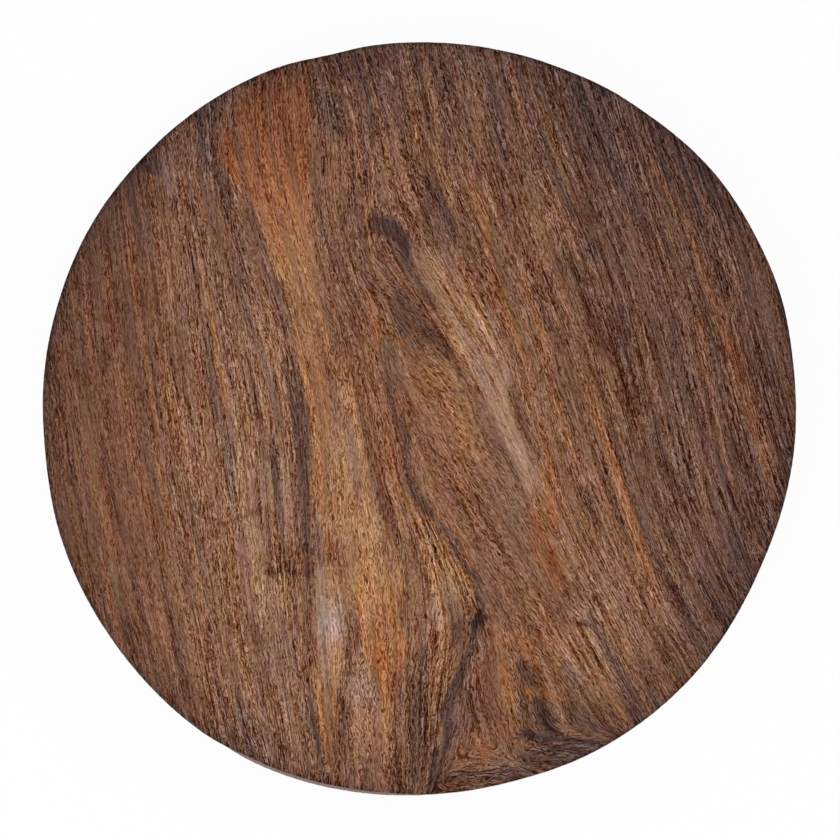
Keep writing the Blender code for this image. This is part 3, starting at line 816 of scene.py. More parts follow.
@dataclass
class GrainFlow:
    """The run of the grain: how far each place lies across it, and along it."""

    half_side: float = 180.0
    spacing: float = 2.0
    near: float = 5.0  # within this distance a grain line settles the direction alone
    hold: float = 0.05  # how firmly the strands keep their distance where the lines bend
    rounds: int = 700
    curve_steps: int = 4
    least_run: float = 0.1  # the shortest average of directions that still counts as one

    def __post_init__(self) -> None:
        """Work out both coordinates on a square of points over the face."""
        self.ticks = np.arange(-self.half_side, self.half_side + self.spacing / 2, self.spacing)
        self.count = len(self.ticks)
        self.along_x, self.along_y = self.direction()
        across = self.solve(self.along_y, -self.along_x, self.hold)
        along = self.solve(self.along_x, self.along_y, 1.0)
        self.fields = (across, along)

    def direction(self) -> tuple[Array, Array]:
        """Average the direction of the grain in each cell from the grain lines near it.

        Returns:
            The X and the Y of a step of 1 along the grain, which runs up the board.
        """
        middle = (self.ticks[1:] + self.ticks[:-1]) / 2
        x, y = np.meshgrid(middle, middle, indexing="ij")
        double_x = np.zeros(x.shape)
        double_y = np.zeros(x.shape)
        for path in GRAIN_LINES:
            curve = smooth_path(path, self.curve_steps)
            steps = np.diff(curve, axis=0)
            for place, step in zip((curve[1:] + curve[:-1]) / 2, steps):
                turn = 2 * math.atan2(step[1], step[0])
                gap = (x - place[0]) ** 2 + (y - place[1]) ** 2 + self.near**2
                weight = math.hypot(*step) / gap**2
                double_x += weight * math.cos(turn)
                double_y += weight * math.sin(turn)
        angle = np.arctan2(double_y, double_x) / 2
        flip = np.where(np.sin(angle) < 0, -1.0, 1.0)
        return np.cos(angle) * flip, np.sin(angle) * flip

    def slopes(self, values: Array) -> Array:
        """The slope of a quantity in the two triangles of each cell, as four layers."""
        right = np.diff(values, axis=0) / self.spacing
        up = np.diff(values, axis=1) / self.spacing
        return np.array([right[:, :-1], up[:-1, :], right[:, 1:], up[1:, :]])

    def gather(self, layers: Array) -> Array:
        """Give each point what it gets from the cells round it: the transpose of slopes.

        Args:
            layers: four numbers for each cell, in the order that slopes gives.

        Returns:
            One number for each point.
        """
        total = np.zeros((self.count, self.count))
        first, last = slice(None, -1), slice(1, None)
        corners = (  # of the cell, between which the slopes of each layer run
            ((first, first), (last, first)),
            ((first, first), (first, last)),
            ((first, last), (last, last)),
            ((last, first), (last, last)),
        )
        for layer, (start, end) in zip(layers / self.spacing, corners):
            total[end] += layer
            total[start] -= layer
        return total

    def solve(self, rise_x: Array, rise_y: Array, climb: float) -> Array:
        """Find the quantity that rises by 1 mm each mm one way and stays level the other way.

        Args:
            rise_x: the way in which it rises.
            rise_y: likewise.
            climb: how firmly it keeps to its rise, against 1 for how firmly it stays level.

        Returns:
            The quantity at each point, in millimetres.
        """

        def pull(values: Array) -> Array:
            """Work out the balance of forces that a quantity would need.

            Args:
                values: the quantity at each point.

            Returns:
                The force at each point.
            """
            slopes = self.slopes(values)
            pulls = []
            for x_slope, y_slope in (slopes[:2], slopes[2:]):
                up_hill = climb * (x_slope * rise_x + y_slope * rise_y)
                sideways = y_slope * rise_x - x_slope * rise_y
                pulls.append(up_hill * rise_x - sideways * rise_y)
                pulls.append(up_hill * rise_y + sideways * rise_x)
            return self.gather(np.array(pulls))

        x, y = np.meshgrid(self.ticks, self.ticks, indexing="ij")
        wanted = self.gather(climb * np.array([rise_x, rise_y, rise_x, rise_y]))
        values = x * rise_x.mean() + y * rise_y.mean()
        rest = wanted - pull(values)
        heading = rest.copy()
        size = (rest * rest).sum()
        for _ in range(self.rounds):
            pulled = pull(heading)
            step = size / (heading * pulled).sum()
            values += step * heading
            rest -= step * pulled
            new_size = (rest * rest).sum()
            heading = rest + new_size / size * heading
            size = new_size
        return values - values[self.count // 2, self.count // 2]

    def at(self, x: Array, y: Array) -> tuple[Array, Array]:
        """Find where places lie in the grain.

        Args:
            x, y: where the places are, in millimetres.

        Returns:
            How far each lies across the grain and along it, in millimetres.
        """
        column, row = (x + self.half_side) / self.spacing, (y + self.half_side) / self.spacing
        across, along = (self.between(field, column, row) for field in self.fields)
        return across, along

    def run(self, x: Array, y: Array) -> tuple[Array, Array]:
        """Find the direction of the grain.

        Args:
            x, y: where the places are, in millimetres.

        Returns:
            The X and the Y of a step of 1 along the grain.
        """
        column, row = ((place + self.half_side) / self.spacing - 0.5 for place in (x, y))
        run_x, run_y = (self.between(field, column, row) for field in (self.along_x, self.along_y))
        length = np.maximum(np.hypot(run_x, run_y), self.least_run)
        return run_x / length, run_y / length

    @staticmethod
    def between(field: Array, column: Array, row: Array) -> Array:
        """Read a field at places between its points.

        Args:
            field: its values at the points.
            column: where the places are, counted in points.
            row: likewise.

        Returns:
            The value at each place.
        """
        margin = 1.001  # keeps every place inside the last cell
        column = np.clip(column, 0, field.shape[0] - margin)
        row = np.clip(row, 0, field.shape[1] - margin)
        i, j = column.astype(int), row.astype(int)
        s, t = column - i, row - j
        low = field[i, j] * (1 - s) + field[i + 1, j] * s
        high = field[i, j + 1] * (1 - s) + field[i + 1, j + 1] * s
        return low * (1 - t) + high * t


@dataclass
class Figure:
    """The figure of the wood: its colour, its veins and its grain, at any place on the board."""

    flow: GrainFlow
    lift: float = 0.35  # the middle of the face lies this far above that of the board's box
    # What carries the edges of streaks to and fro: its reach, its width, its length and its noise
    wavers: tuple[tuple[float, float, float, int], ...] = ((0.6, 1.3, 16.0, 11), (0.7, 3.1, 30.0, 12))
    streak_waver: float = 0.35  # how much of that carries the edges of streaks
    faint_from: float = 0.8  # a streak narrower than this gets fainter instead of sharper
    furthest: float = 4.0  # how far from an inlay its distance still counts
    scuff_sharpness: float = 1.2

    def paint(self, x: Array, y: Array) -> dict[str, Array]:
        """Work out every quantity of the wood's figure.

        Args:
            x, y: where the places are, in millimetres.

        Returns:
            Each quantity under its name.
        """
        y = y - self.lift
        across, along = self.flow.at(x, y)
        waver = np.zeros(x.shape)
        for reach, width, length, seed in self.wavers:
            waver += reach * wander(across / width, along / length, seed)
        layers = {channel: np.full(x.shape, value) for channel, value in BASE.items()}
        for zone in ZONES:
            self.lay_zone(zone, x + waver, y, layers)
        radius = np.hypot(x, y)
        layers[Channel.LIGHT] += np.interp(radius, *np.array(RIM_SHADE, dtype=float).T)
        for streak in STREAKS:
            self.lay_streak(streak, x, y, waver, layers)
        painted = {channel.value: layer for channel, layer in layers.items()}
        painted["across"], painted["along"] = across, along
        painted["run_x"], painted["run_y"] = self.flow.run(x, y)
        painted["vein"], painted["vein_depth"] = self.lay_inlays(VEINS, x, y)
        painted["thread"], painted["thread_depth"] = self.lay_inlays(THREADS, x, y)
        painted["scuff"] = self.lay_scuffs(x, y)
        return painted

    @staticmethod
    def lay_zone(zone: Zone, x: Array, y: Array, layers: dict[Channel, Array]) -> None:
        """Move the wood inside a zone towards the zone's own colour and grain.

        Args:
            zone: the zone.
            x, y: where the places are, in millimetres.
            layers: the wood under it, which it changes.
        """
        rows = np.array(zone.rows, dtype=float)[::-1]
        heights = rows[:, 0]
        left, right, light, warmth = (np.interp(y, heights, column) for column in rows[:, 1:].T)
        left_fade, right_fade, end_fade = zone.fades
        inside = smooth_step(-left_fade, left_fade, x - left)
        inside = inside * smooth_step(-right_fade, right_fade, right - x)
        inside = inside * smooth_step(-end_fade, end_fade, heights[-1] - y)
        inside = inside * smooth_step(-end_fade, end_fade, y - heights[0])
        for channel, target in zip(Channel, (light, warmth, zone.grain, zone.curl, zone.long)):
            if target is not None:
                layers[channel] += (target - layers[channel]) * inside

    def lay_streak(
        self, streak: Streak, x: Array, y: Array, waver: Array, layers: dict[Channel, Array]
    ) -> None:
        """Add a streak to the wood under it.

        Args:
            streak: the streak.
            x, y: where the places are, in millimetres.
            waver: how far the strands carry the edges there.
            layers: the wood under it, which it changes.
        """
        margin = max(streak.reach) * 2 + 3  # no streak fades or wavers further out than this
        points = np.array(streak.path)
        near = (x > points[:, 0].min() - margin) & (x < points[:, 0].max() + margin)
        near &= (y > points[:, 1].min() - margin) & (y < points[:, 1].max() + margin)
        where = np.nonzero(near)[0]
        gap, width = measure_from(streak.path, streak.reach, x[where], y[where])
        soft = streak.fade * np.maximum(width, self.faint_from)
        shifted = np.maximum(gap + self.streak_waver * waver[where], 0.0)
        strength = 1 - smooth_step(0.0, 1.0, (shifted - width + soft) / (2 * soft))
        strength *= np.minimum(width / self.faint_from, 1.0)
        for channel in (Channel.LIGHT, Channel.WARMTH, Channel.GRAIN, Channel.CURL):
            layers[channel][where] += getattr(streak, channel.value) * strength

    def lay_inlays(self, inlays: tuple[Inlay, ...], x: Array, y: Array) -> tuple[Array, Array]:
        """Measure places against veins or threads.

        Args:
            inlays: the veins or threads.
            x, y: where the places are, in millimetres.

        Returns:
            How far inside the nearest inlay each place lies, in millimetres, and how strong that is.
        """
        inside = np.full(x.shape, -self.furthest)
        depth = np.zeros(x.shape)
        for inlay in inlays:
            gap, width = measure_from(inlay.path, inlay.reach, x, y)
            closer = width - gap > inside
            inside = np.where(closer, width - gap, inside)
            depth = np.where(closer, inlay.strength, depth)
        return inside, depth

    def lay_scuffs(self, x: Array, y: Array) -> Array:
        """Work out how strongly places are scuffed.

        Args:
            x, y: where the places are, in millimetres.

        Returns:
            The strength at each place.
        """
        total = np.zeros(x.shape)
        for mark_x, mark_y, wide, high, strength in SCUFFS:
            gap = np.hypot((x - mark_x) / wide, (y - mark_y) / high)
            total += strength * np.exp(-(gap**2) * self.scuff_sharpness)
        return total


class Wiring:
    """Adds nodes to a tree and links them in few words."""

    def __init__(self, tree: Tree) -> None:
        """Start on an emptied tree."""
        self.tree = tree
        tree.nodes.clear()

    def node(
        self, kind: str, settings: Optional[dict] = None, *values: Source, **inputs: Source
    ) -> bpy.types.Node:
        """Add a node.

        Args:
            kind: the node's type.
            settings: its properties.
            values: what its first inputs take, in order.
            inputs: what its other inputs take, by name with underscores for spaces.

        Returns:
            The node.
        """
        node = self.tree.nodes.new(kind)
        for name, value in (settings or {}).items():
            setattr(node, name, value)
        for socket, value in zip(node.inputs, values):
            self.feed(socket, value)
        for name, value in inputs.items():
            self.feed(node.inputs[name.replace("_", " ")], value)
        return node

    def feed(self, socket: Socket, value: Source) -> None:
        """Give a socket a value, or link it to another."""
        if isinstance(value, Socket):
            self.tree.links.new(value, socket)
        else:
            socket.default_value = value

    def result(self, operation: str, *terms: Source, clamp: bool = False) -> Socket:
        """The result of a Math node on up to three terms."""
        return self.node("ShaderNodeMath", {"operation": operation, "use_clamp": clamp}, *terms).outputs[0]

    def plus(self, first: Source, second: Source) -> Socket:
        """The sum of two numbers."""
        return self.result("ADD", first, second)

    def minus(self, first: Source, second: Source) -> Socket:
        """The first number less the second."""
        return self.result("SUBTRACT", first, second)

    def times(self, first: Source, second: Source) -> Socket:
        """The product of two numbers."""
        return self.result("MULTIPLY", first, second)

    def over(self, first: Source, second: Source) -> Socket:
        """The first number divided by the second."""
        return self.result("DIVIDE", first, second)

    def times_plus(self, value: Source, factor: Source, extra: Source) -> Socket:
        """The value times a factor, plus an extra."""
        return self.result("MULTIPLY_ADD", value, factor, extra)

    def ramp(self, value: Source, low: float, high: float) -> Socket:
        """0 up to a low value, 1 from a high one on, with a smooth rise between them."""
        settings = {"interpolation_type": "SMOOTHSTEP"}
        return self.node("ShaderNodeMapRange", settings, value, low, high).outputs["Result"]

    def blend(self, share: Source, first: Source, second: Source) -> Socket:
        """A number between two others."""
        node = self.node("ShaderNodeMix", None, share)
        for index, value in ((2, first), (3, second)):
            self.feed(node.inputs[index], value)
        return node.outputs[0]

    def parts(self, vector: Socket) -> tuple[Socket, ...]:
        """The three numbers of a vector."""
        return tuple(self.node("ShaderNodeSeparateXYZ", None, vector).outputs)

    def vector(self, x: Source, y: Source, z: Source) -> Socket:
        """A vector of three numbers."""
        return self.node("ShaderNodeCombineXYZ", None, x, y, z).outputs[0]

    def vectors(self, operation: str, first: Source, second: Source) -> Socket:
        """The result of a Vector Math node on two vectors, or on one and what scales it."""
        node = self.node("ShaderNodeVectorMath", {"operation": operation}, first)
        self.feed(node.inputs["Scale" if operation == "SCALE" else 1], second)
        return node.outputs[0]

    def noise(self, vector: Socket, detail: float = 0.0) -> Socket:
        """Noise about 0, with a spread of about 1, at a pitch of one unit."""
        node = self.node("ShaderNodeTexNoise", Vector=vector, Scale=1.0, Detail=detail)
        spread = 6.0  # the node gives 0 to 1, and most of that lies near the middle
        return self.times_plus(node.outputs["Fac"], spread, -spread / 2)

    def attribute(self, name: str) -> tuple[Socket, ...]:
        """The three numbers of a vector attribute of the mesh."""
        return self.parts(self.node("ShaderNodeAttribute", {"attribute_name": name}).outputs["Vector"])

    def group(self, tree: Tree, **inputs: Source) -> bpy.types.Node:
        """Place a node group with its own values."""
        return self.node("ShaderNodeGroup", {"node_tree": tree}, **inputs)


def node_group(
    name: str, inputs: dict[str, float], outputs: dict[str, str]
) -> tuple[Wiring, dict[str, Socket], bpy.types.Node]:
    """Start a shader node group.

    Args:
        name: the group's name.
        inputs: its number inputs, with their usual values.
        outputs: its outputs, with the types of their sockets.

    Returns:
        The wiring of its tree, its inputs by name, and its output node.
    """
    tree = bpy.data.node_groups.new(name, "ShaderNodeTree")
    for label, value in inputs.items():
        socket = tree.interface.new_socket(name=label, in_out="INPUT", socket_type=NUMBER)
        socket.default_value = value
    for label, kind in outputs.items():
        tree.interface.new_socket(name=label, in_out="OUTPUT", socket_type=kind)
    wiring = Wiring(tree)
    source = wiring.node("NodeGroupInput")
    return wiring, {label: source.outputs[label] for label in inputs}, wiring.node("NodeGroupOutput")


def strand_group() -> Tree:
    """Build the fine grain: dashes and long lines that waver along it, all in millimetres.

    Returns:
        The node group.
    """
    wiring, given, out = node_group(
        "fine_strands",
        {"Across": 0.0, "Along": 0.0, "Depth": 0.0, "Curl": 0.3, "Long": 0.5, "Width": 0.43},
        {"Strand": NUMBER, "Pore": NUMBER},
    )
    across, along, depth = given["Across"], given["Along"], given["Depth"]

    def noise(sideways: Socket, wide: Source, tall: float, deep: float) -> Socket:
        """Noise whose features have the given size."""
        place = (wiring.over(sideways, wide), wiring.over(along, tall), wiring.over(depth, deep))
        return wiring.noise(wiring.vector(*place))

    curl = given["Curl"]
    sway = wiring.times(noise(across, wide=4.5, tall=3.4, deep=6.0), wiring.times(curl, 0.45))
    jitter = wiring.times(noise(across, wide=1.5, tall=1.8, deep=3.0), wiring.times_plus(curl, 0.12, 0.05))
    swayed = wiring.plus(wiring.plus(across, sway), jitter)
    width = given["Width"]

    def ribs(pitch: float, wide: float, tall: float, breaks: float) -> Socket:
        """Make even lines side by side, which shift and fork at random.

        Args:
            pitch: their distance, in widths of a strand.
            wide: how wide the places are where they shift.
            tall: how long those places are.
            breaks: how far they shift there, in lines.

        Returns:
            The lines, from -1 to 1.
        """
        shift = noise(wiring.plus(across, 19.0), wide, tall, deep=2.0)
        turns = wiring.times_plus(shift, breaks, wiring.over(swayed, wiring.times(width, pitch)))
        return wiring.result("SINE", wiring.times(turns, math.tau))

    layers = (  # each with its strength where the grain is short dashes, and where it is long lines
        (noise(wiring.plus(swayed, 33.0), width, tall=2.2, deep=1.6), 0.45, 0.25),
        (noise(swayed, wiring.times(width, 1.2), tall=6.0, deep=2.0), 0.15, 0.4),
        (noise(swayed, wiring.times(width, 2.6), tall=9.0, deep=3.0), 0.12, 0.12),
        (ribs(pitch=3.9, wide=1.5, tall=3.2, breaks=0.38), 0.8, 0.45),
        (ribs(pitch=3.5, wide=2.4, tall=11.0, breaks=0.5), 0.15, 0.55),
        (noise(swayed, width, tall=0.7, deep=0.8), 0.05, 0.45),
    )
    strand = 0.0
    for layer, if_short, if_long in layers:
        strength = wiring.times_plus(given["Long"], if_long - if_short, if_short)
        strand = wiring.times_plus(layer, strength, strand)
    wiring.feed(out.inputs["Strand"], strand)
    pores = noise(wiring.plus(swayed, 71.0), width, tall=4.0, deep=1.4)
    wiring.feed(out.inputs["Pore"], wiring.ramp(pores, low=0.75, high=1.7))
    return wiring.tree


def patch_group() -> Tree:
    """Find where each place lies across and along the grain, from the middle of its own patch.

    The grain turns too sharply beside the vein for one run of numbers to follow it all over.

    Returns:
        The node group.
    """
    wiring, given, out = node_group(
        "grain_patches",
        {"Run X": 0.0, "Run Y": 1.0, "Size": 13.0, "Raggedness": 3.0},
        {"Across": NUMBER, "Along": NUMBER},
    )
    across_jump, along_jump = 311.7, 217.3  # from one patch to the next, so that no two are alike
    spot = wiring.vectors("SCALE", wiring.node("ShaderNodeTexCoord").outputs["Object"], 1 / MM)
    noise = wiring.node("ShaderNodeTexNoise", Vector=spot, Scale=0.7, Detail=0.0).outputs["Color"]
    stray = wiring.vectors("SCALE", wiring.vectors("SUBTRACT", noise, (0.5, 0.5, 0.5)), given["Raggedness"])
    cells = wiring.vectors("SCALE", wiring.vectors("ADD", spot, stray), wiring.over(1.0, given["Size"]))
    patch = wiring.node("ShaderNodeTexVoronoi", {"voronoi_dimensions": "2D"}, Vector=cells, Scale=1.0)
    middle = patch.outputs["Position"]
    x, y, _ = wiring.parts(wiring.vectors("SUBTRACT", spot, wiring.vectors("SCALE", middle, given["Size"])))
    middle_x, middle_y, _ = wiring.parts(middle)
    across = wiring.minus(wiring.times(x, given["Run Y"]), wiring.times(y, given["Run X"]))
    along = wiring.times_plus(x, given["Run X"], wiring.times(y, given["Run Y"]))
    wiring.feed(out.inputs["Across"], wiring.times_plus(middle_x, across_jump, across))
    wiring.feed(out.inputs["Along"], wiring.times_plus(middle_y, along_jump, along))
    return wiring.tree


class Band(NamedTuple):
    """One set of random streaks: how wide and how long they are in millimetres, and how strong."""

    wide: float
    tall: float
    start: float  # the place in the noise that the set is taken from
    strength: float = 1.0
    detail: float = 0.0


def streak_group() -> Tree:
    """Build random streaks along the grain: their brightness, their warmth and how golden they are.

    Returns:
        The node group.
    """
    bands = {
        "Light": (
            Band(3.2, 60.0, 0.0, 0.9, detail=1.0),
            Band(1.4, 48.0, 17.0, 0.75),
            Band(3.0, 9.0, 11.0, 0.25),
        ),
        "Lines": (Band(0.6, 36.0, 43.0), Band(0.95, 50.0, 53.0)),
        "Warmth": (Band(5.0, 45.0, 23.0), Band(1.8, 35.0, 29.0, 0.8)),
        "Gold": (Band(4.0, 20.0, 31.0), Band(1.5, 16.0, 37.0, 0.7)),
    }
    darkening = -0.35  # makes the dark lines stronger than the light ones
    change_in_depth = 9.0  # millimetres in which the streaks change from the face down
    wiring, given, out = node_group(
        "grain_streaks",
        {"Across": 0.0, "Along": 0.0, "Depth": 0.0, "Width": 1.0},
        {name: NUMBER for name in bands},
    )
    across = wiring.over(given["Across"], given["Width"])
    along, depth = given["Along"], wiring.over(given["Depth"], change_in_depth)
    for name, sets in bands.items():
        total = 0.0
        for band in sets:
            column, row = wiring.over(across, band.wide), wiring.over(along, band.tall)
            place = wiring.vector(column, row, wiring.plus(depth, band.start))
            total = wiring.times_plus(wiring.noise(place, band.detail), band.strength, total)
        if name == "Lines":
            total = wiring.times_plus(wiring.result("ABSOLUTE", total), darkening, total)
        wiring.feed(out.inputs[name], total)
    return wiring.tree


@dataclass(frozen=True)
class Palette:
    """How the wood's lightness and warmth become red, green and blue, from 0 to 255 as on a screen.

    The first three pairs are each a factor and what is added to the product.
    """

    gold_of_light: tuple[float, float] = (0.0092, -0.89)
    red_of_hue: tuple[float, float] = (0.07, 1.29)
    blue_of_hue: tuple[float, float] = (-0.10, 0.70)
    glow_of_warmth: float = 40.0
    glow_range: tuple[float, float] = (85.0, 112.0)  # where the pink comes in
    pink_limit: float = 1.2
    pink_of_gold: float = -0.2  # the pale and the orange wood are pinker, but not the dark wood
    fine_shares: tuple[float, float, float] = (0.95, 1.0, 1.07)  # of the fine grain, in each colour
    eye_shares: tuple[float, float, float] = (0.299, 0.587, 0.114)  # of each colour in lightness
    white: float = 255.0
    curve_foot: float = 0.055  # of the curve from a screen's number to its light
    curve_power: float = 2.4

    def group(self) -> Tree:
        """Build the node group.

        Returns:
            The node group.
        """
        wiring, given, out = node_group(
            "wood_colour", {"Light": 95.0, "Warmth": 0.0, "Gold": 0.0, "Fine": 0.0}, {"Color": COLOUR}
        )
        light, warmth = given["Light"], given["Warmth"]
        red_eye, green_eye, blue_eye = self.eye_shares
        gold = wiring.plus(wiring.times_plus(light, *self.gold_of_light), given["Gold"])
        pink = wiring.result("MINIMUM", wiring.times(warmth, warmth), self.pink_limit)
        glow = wiring.times_plus(wiring.result("MAXIMUM", warmth, 0.0), self.glow_of_warmth, light)
        pink = wiring.times(pink, wiring.ramp(glow, *self.glow_range))
        gold = wiring.times_plus(pink, self.pink_of_gold, gold)
        red = wiring.times(light, wiring.times_plus(wiring.minus(warmth, gold), *self.red_of_hue))
        blue = wiring.times(light, wiring.times_plus(wiring.plus(warmth, gold), *self.blue_of_hue))
        rest = wiring.minus(light, wiring.times_plus(red, red_eye, wiring.times(blue, blue_eye)))
        green = wiring.over(rest, green_eye)
        parts = []
        for part, share in zip((red, green, blue), self.fine_shares):
            with_grain = wiring.times_plus(given["Fine"], share, part)
            shown = wiring.result("DIVIDE", with_grain, self.white, clamp=True)
            evened = wiring.over(wiring.plus(shown, self.curve_foot), 1 + self.curve_foot)
            parts.append(wiring.result("POWER", evened, self.curve_power))
        colour = wiring.node("ShaderNodeCombineColor", None, *parts)
        wiring.feed(out.inputs["Color"], colour.outputs[0])
        return wiring.tree


def start_material(name: str) -> tuple[bpy.types.Material, Wiring]:
    """A new material with nothing in it yet, and its wiring."""
    material = bpy.data.materials.new(name)
    material.use_nodes = True
    return material, Wiring(material.node_tree)


@dataclass(frozen=True)
class OiledWood:
    """Sanded hardwood under a thin coat of oil, for both faces and their eased edges."""

    patches: Tree
    strands: Tree
    streaks: Tree
    colour: Tree
    fine_contrast: float = 35.5
    fine_lean: float = -0.14  # the dark strands are further from the middle than the light ones
    pore_shade: float = -0.6
    streak_contrast: float = 7.0
    line_contrast: float = 16.0
    warmth_contrast: float = 0.17
    warmth_of_light: float = 0.08  # the darker streaks are the cooler ones
    gold_contrast: float = 0.11
    contrast_of_warmth: float = 0.18
    contrast_of_vein: float = -0.5
    light_trim: float = 7.3  # makes up for the pores and the dark strands
    warmth_trim: float = 0.06  # makes up for the shine, which is white
    # painted shade: how much darker the rim of each face and its eased edge are, as if turned away from the
    # light
    painted_edge_shade: float = -14.0
    raggedness: float = 0.3  # how far the strands carry the edges of veins and threads
    vein_edge: tuple[float, float] = (-0.5, 0.6)  # where it comes in, in millimetres from its side
    thread_edge: tuple[float, float] = (-0.3, 0.6)
    vein_light: float = 40.0
    vein_warmth: float = -0.9
    thread_light: float = 138.0
    scuff_light: float = 165.0
    scuff_warmth: float = -2.0
    roughness: float = 0.52
    pore_roughness: float = 0.14
    scuff_roughness: float = 0.2
    strand_height: float = 0.25
    bump_strength: float = 0.3
    bump_depth: float = 0.06 * MM
    specular: float = 0.06

    def material(self) -> bpy.types.Material:
        """Make the material.

        Returns:
            The material.
        """
        material, wiring = start_material("oiled_hardwood")
        across, along, depth = wiring.attribute("grain_place")
        light, warmth, strength = wiring.attribute("grain_tone")
        # the third number is the painted shade along the rim
        curl, long, edge = wiring.attribute("grain_form_and_rim_shade")
        vein, vein_depth, _ = wiring.attribute("dark_veins")
        thread, thread_depth, scuff = wiring.attribute("pale_threads")
        run_x, run_y, _ = wiring.attribute("grain_run")
        patch = wiring.group(self.patches, Run_X=run_x, Run_Y=run_y).outputs
        fine = wiring.group(
            self.strands, Across=patch["Across"], Along=patch["Along"], Depth=depth, Curl=curl, Long=long
        ).outputs
        broad = wiring.group(self.streaks, Across=across, Along=along, Depth=depth).outputs
        strand, pore = fine["Strand"], fine["Pore"]

        ragged = wiring.times(strand, self.raggedness)
        vein_share = wiring.times(wiring.ramp(wiring.plus(vein, ragged), *self.vein_edge), vein_depth)
        thread_share = wiring.ramp(wiring.plus(thread, ragged), *self.thread_edge)
        thread_share = wiring.times(thread_share, thread_depth)
        lit = wiring.times_plus(broad["Light"], self.streak_contrast, wiring.plus(light, self.light_trim))
        # painted shade: a dark line along the rim and over the eased edges
        lit = wiring.times_plus(edge, self.painted_edge_shade, lit)
        lit = wiring.blend(vein_share, lit, self.vein_light)
        lit = wiring.blend(thread_share, lit, self.thread_light)
        lit = wiring.blend(scuff, lit, self.scuff_light)
        tinted = wiring.plus(warmth, self.warmth_trim)
        tinted = wiring.times_plus(broad["Warmth"], self.warmth_contrast, tinted)
        tinted = wiring.times_plus(broad["Light"], self.warmth_of_light, tinted)
        tinted = wiring.blend(vein_share, tinted, self.vein_warmth)
        tinted = wiring.blend(scuff, tinted, self.scuff_warmth)
        gold = wiring.times(broad["Gold"], self.gold_contrast)
        quiet = wiring.times(strength, wiring.times_plus(vein_share, self.contrast_of_vein, 1.0))
        quiet = wiring.times(quiet, wiring.times_plus(broad["Warmth"], self.contrast_of_warmth, 1.0))
        relief = wiring.times_plus(pore, self.pore_shade, strand)
        relief = wiring.times(relief, wiring.times_plus(relief, self.fine_lean, 1.0))
        relief = wiring.times(relief, self.fine_contrast)
        relief = wiring.times_plus(broad["Lines"], wiring.times(long, self.line_contrast), relief)
        relief = wiring.times(relief, quiet)
        shade = wiring.group(self.colour, Light=lit, Warmth=tinted, Gold=gold, Fine=relief)

        roughness = wiring.times_plus(scuff, self.scuff_roughness, self.roughness)
        roughness = wiring.times_plus(pore, self.pore_roughness, roughness)
        height = wiring.times_plus(pore, -1.0, wiring.times(strand, self.strand_height))
        bump = wiring.node(
            "ShaderNodeBump", Strength=self.bump_strength, Distance=self.bump_depth, Height=height
        )
        shader = wiring.node(
            "ShaderNodeBsdfPrincipled",
            Base_Color=shade.outputs["Color"],
            Roughness=roughness,
            Normal=bump.outputs[0],
            Specular_IOR_Level=self.specular,
        )
        wiring.node("ShaderNodeOutputMaterial", Surface=shader.outputs[0])
        return material


